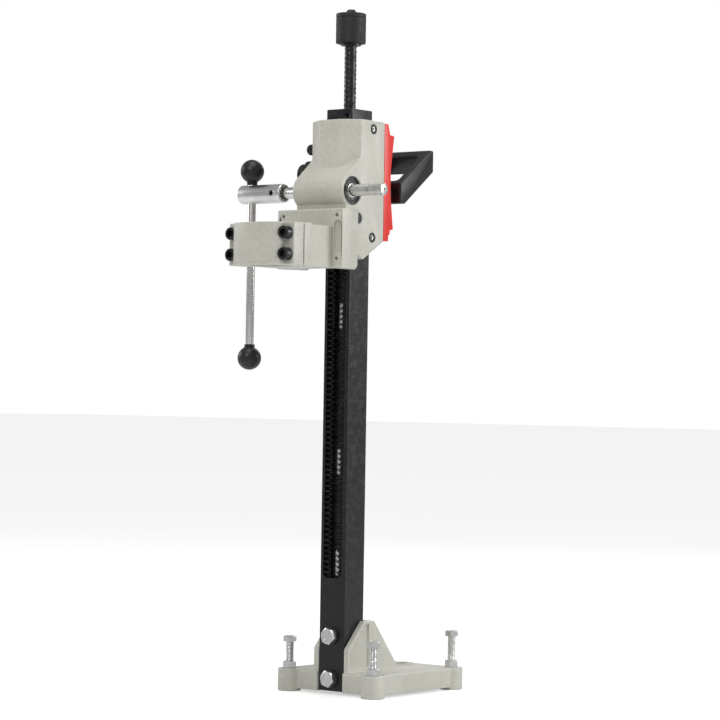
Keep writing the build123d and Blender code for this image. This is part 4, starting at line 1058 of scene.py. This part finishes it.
def makeBallKnobs():
    low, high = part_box("ball_knobs")
    axle = centreOf("lever_rod")
    radius = ballKnob["radius"] * mm
    neck = ballKnob["neck"] * mm
    knobs = []
    reach = high.z - radius - (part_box("lever_hub")[1].z + ballKnob["hubGap"] * mm)
    for direction, height in ((1, low.z + radius), (-1, high.z - radius)):
        deselectAll()
        bpy.ops.mesh.primitive_uv_sphere_add(
            segments=56, ring_count=40, radius=radius, location=(axle.x, axle.y, height)
        )
        ball = bpy.context.object
        settle(ball)
        rim = radius * math.cos(math.asin((neck + ballKnob["lip"] * mm) / radius))
        pickFaces(ball, lambda centre, normal: (centre.z - height) * direction > rim)
        extrudeBy((0, 0, ballKnob["rootStep"] * mm * direction))
        endEdit()
        for point in ball.data.vertices:
            if not point.select:
                continue
            across = Vector((point.co.x - axle.x, point.co.y - axle.y))
            share = min(1.0, across.length / neck)
            if across.length > tiny:
                across = across.normalized() * share * neck
            point.co = (axle.x + across.x, axle.y + across.y, height + direction * reach)
        seamHalf = ballKnob["seamHalf"] * mm
        for point in ball.data.vertices:
            rise = abs(point.co.z - height)
            if rise < seamHalf and not point.select:
                share = 1 - ballKnob["seam"] / ballKnob["radius"] * (1 - rise / seamHalf)
                point.co.x = axle.x + (point.co.x - axle.x) * share
                point.co.y = axle.y + (point.co.y - axle.y) * share
        knobs.append(ball)
    joined = joinPieces(knobs, "leverKnobs")
    smooth(joined, 40)
    standFor(joined, "ball_knobs")


def makeCeilingFoot():
    low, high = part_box("ceiling_foot")
    shoulder = high.z - jackFoot["tipTop"] * mm
    radius = (high.x - low.x) / 2
    foot = addCylinder("ceilingFoot", radius, low.z, shoulder, 64)
    pickEdges(foot, lambda a, b: abs(a.z - b.z) > 0.5 * (shoulder - low.z))
    bpy.ops.mesh.subdivide(number_cuts=5)
    endEdit()
    levels = sorted({round(point.co.z, 6) for point in foot.data.vertices})
    grooveHalf = jackFoot["grooveHalf"] * mm
    groove = shoulder - jackFoot["grooveDrop"] * mm - grooveHalf
    targets = [
        low.z,
        low.z + jackFoot["lowStep"] * mm,
        (low.z + shoulder) / 2,
        groove - grooveHalf,
        groove,
        groove + grooveHalf,
        shoulder,
    ]
    for point in foot.data.vertices:
        index = min(range(len(levels)), key=lambda i: abs(levels[i] - point.co.z))
        point.co.z = targets[index]
        if targets[index] == groove:
            share = 1 - jackFoot["groove"] * mm / radius
            point.co.x, point.co.y = point.co.x * share, point.co.y * share

    def onRim(a, b):
        return abs(a.z - b.z) < tiny and (a.z < low.z + tiny or a.z > shoulder - tiny)

    pickEdges(foot, onRim)
    bpy.ops.mesh.bevel(offset=jackFoot["edge"] * mm, segments=4, affect="EDGES")
    endEdit()
    pickFaces(foot, lambda centre, normal: normal.z > level and centre.xy.length < mm)
    taper = jackFoot["tipTaper"]
    bpy.ops.mesh.inset(thickness=radius - jackFoot["edge"] * mm - jackFoot["tipRadius"] * mm)
    extrudeBy((0, 0, 0.8 * jackFoot["tipTop"] * mm))
    bpy.ops.transform.resize(value=(taper, taper, 1), center_override=(0, 0, shoulder))
    bpy.ops.mesh.inset(thickness=jackFoot["tipEdge"] * mm)
    bpy.ops.transform.translate(value=(0, 0, 0.2 * jackFoot["tipTop"] * mm))
    endEdit()
    pickFaces(foot, lambda centre, normal: normal.z < -level and centre.z < low.z + tiny)
    bpy.ops.mesh.inset(thickness=radius - jackFoot["edge"] * mm - jackFoot["socketRadius"] * mm)
    extrudeBy((0, 0, jackFoot["socketDepth"] * mm))
    endEdit()
    smooth(foot, 30)
    standFor(foot, "ceiling_foot")


makeBallKnobs()
makeCeilingFoot()
print("knobs and foot made")

# the CAD nodes that stay

for node, piece in frame["nodes"].items():
    if piece.hide_render:
        continue
    piece.data.materials.clear()
    piece.data.materials.append(finishes[slotOf[node]])
print("frame nodes painted")
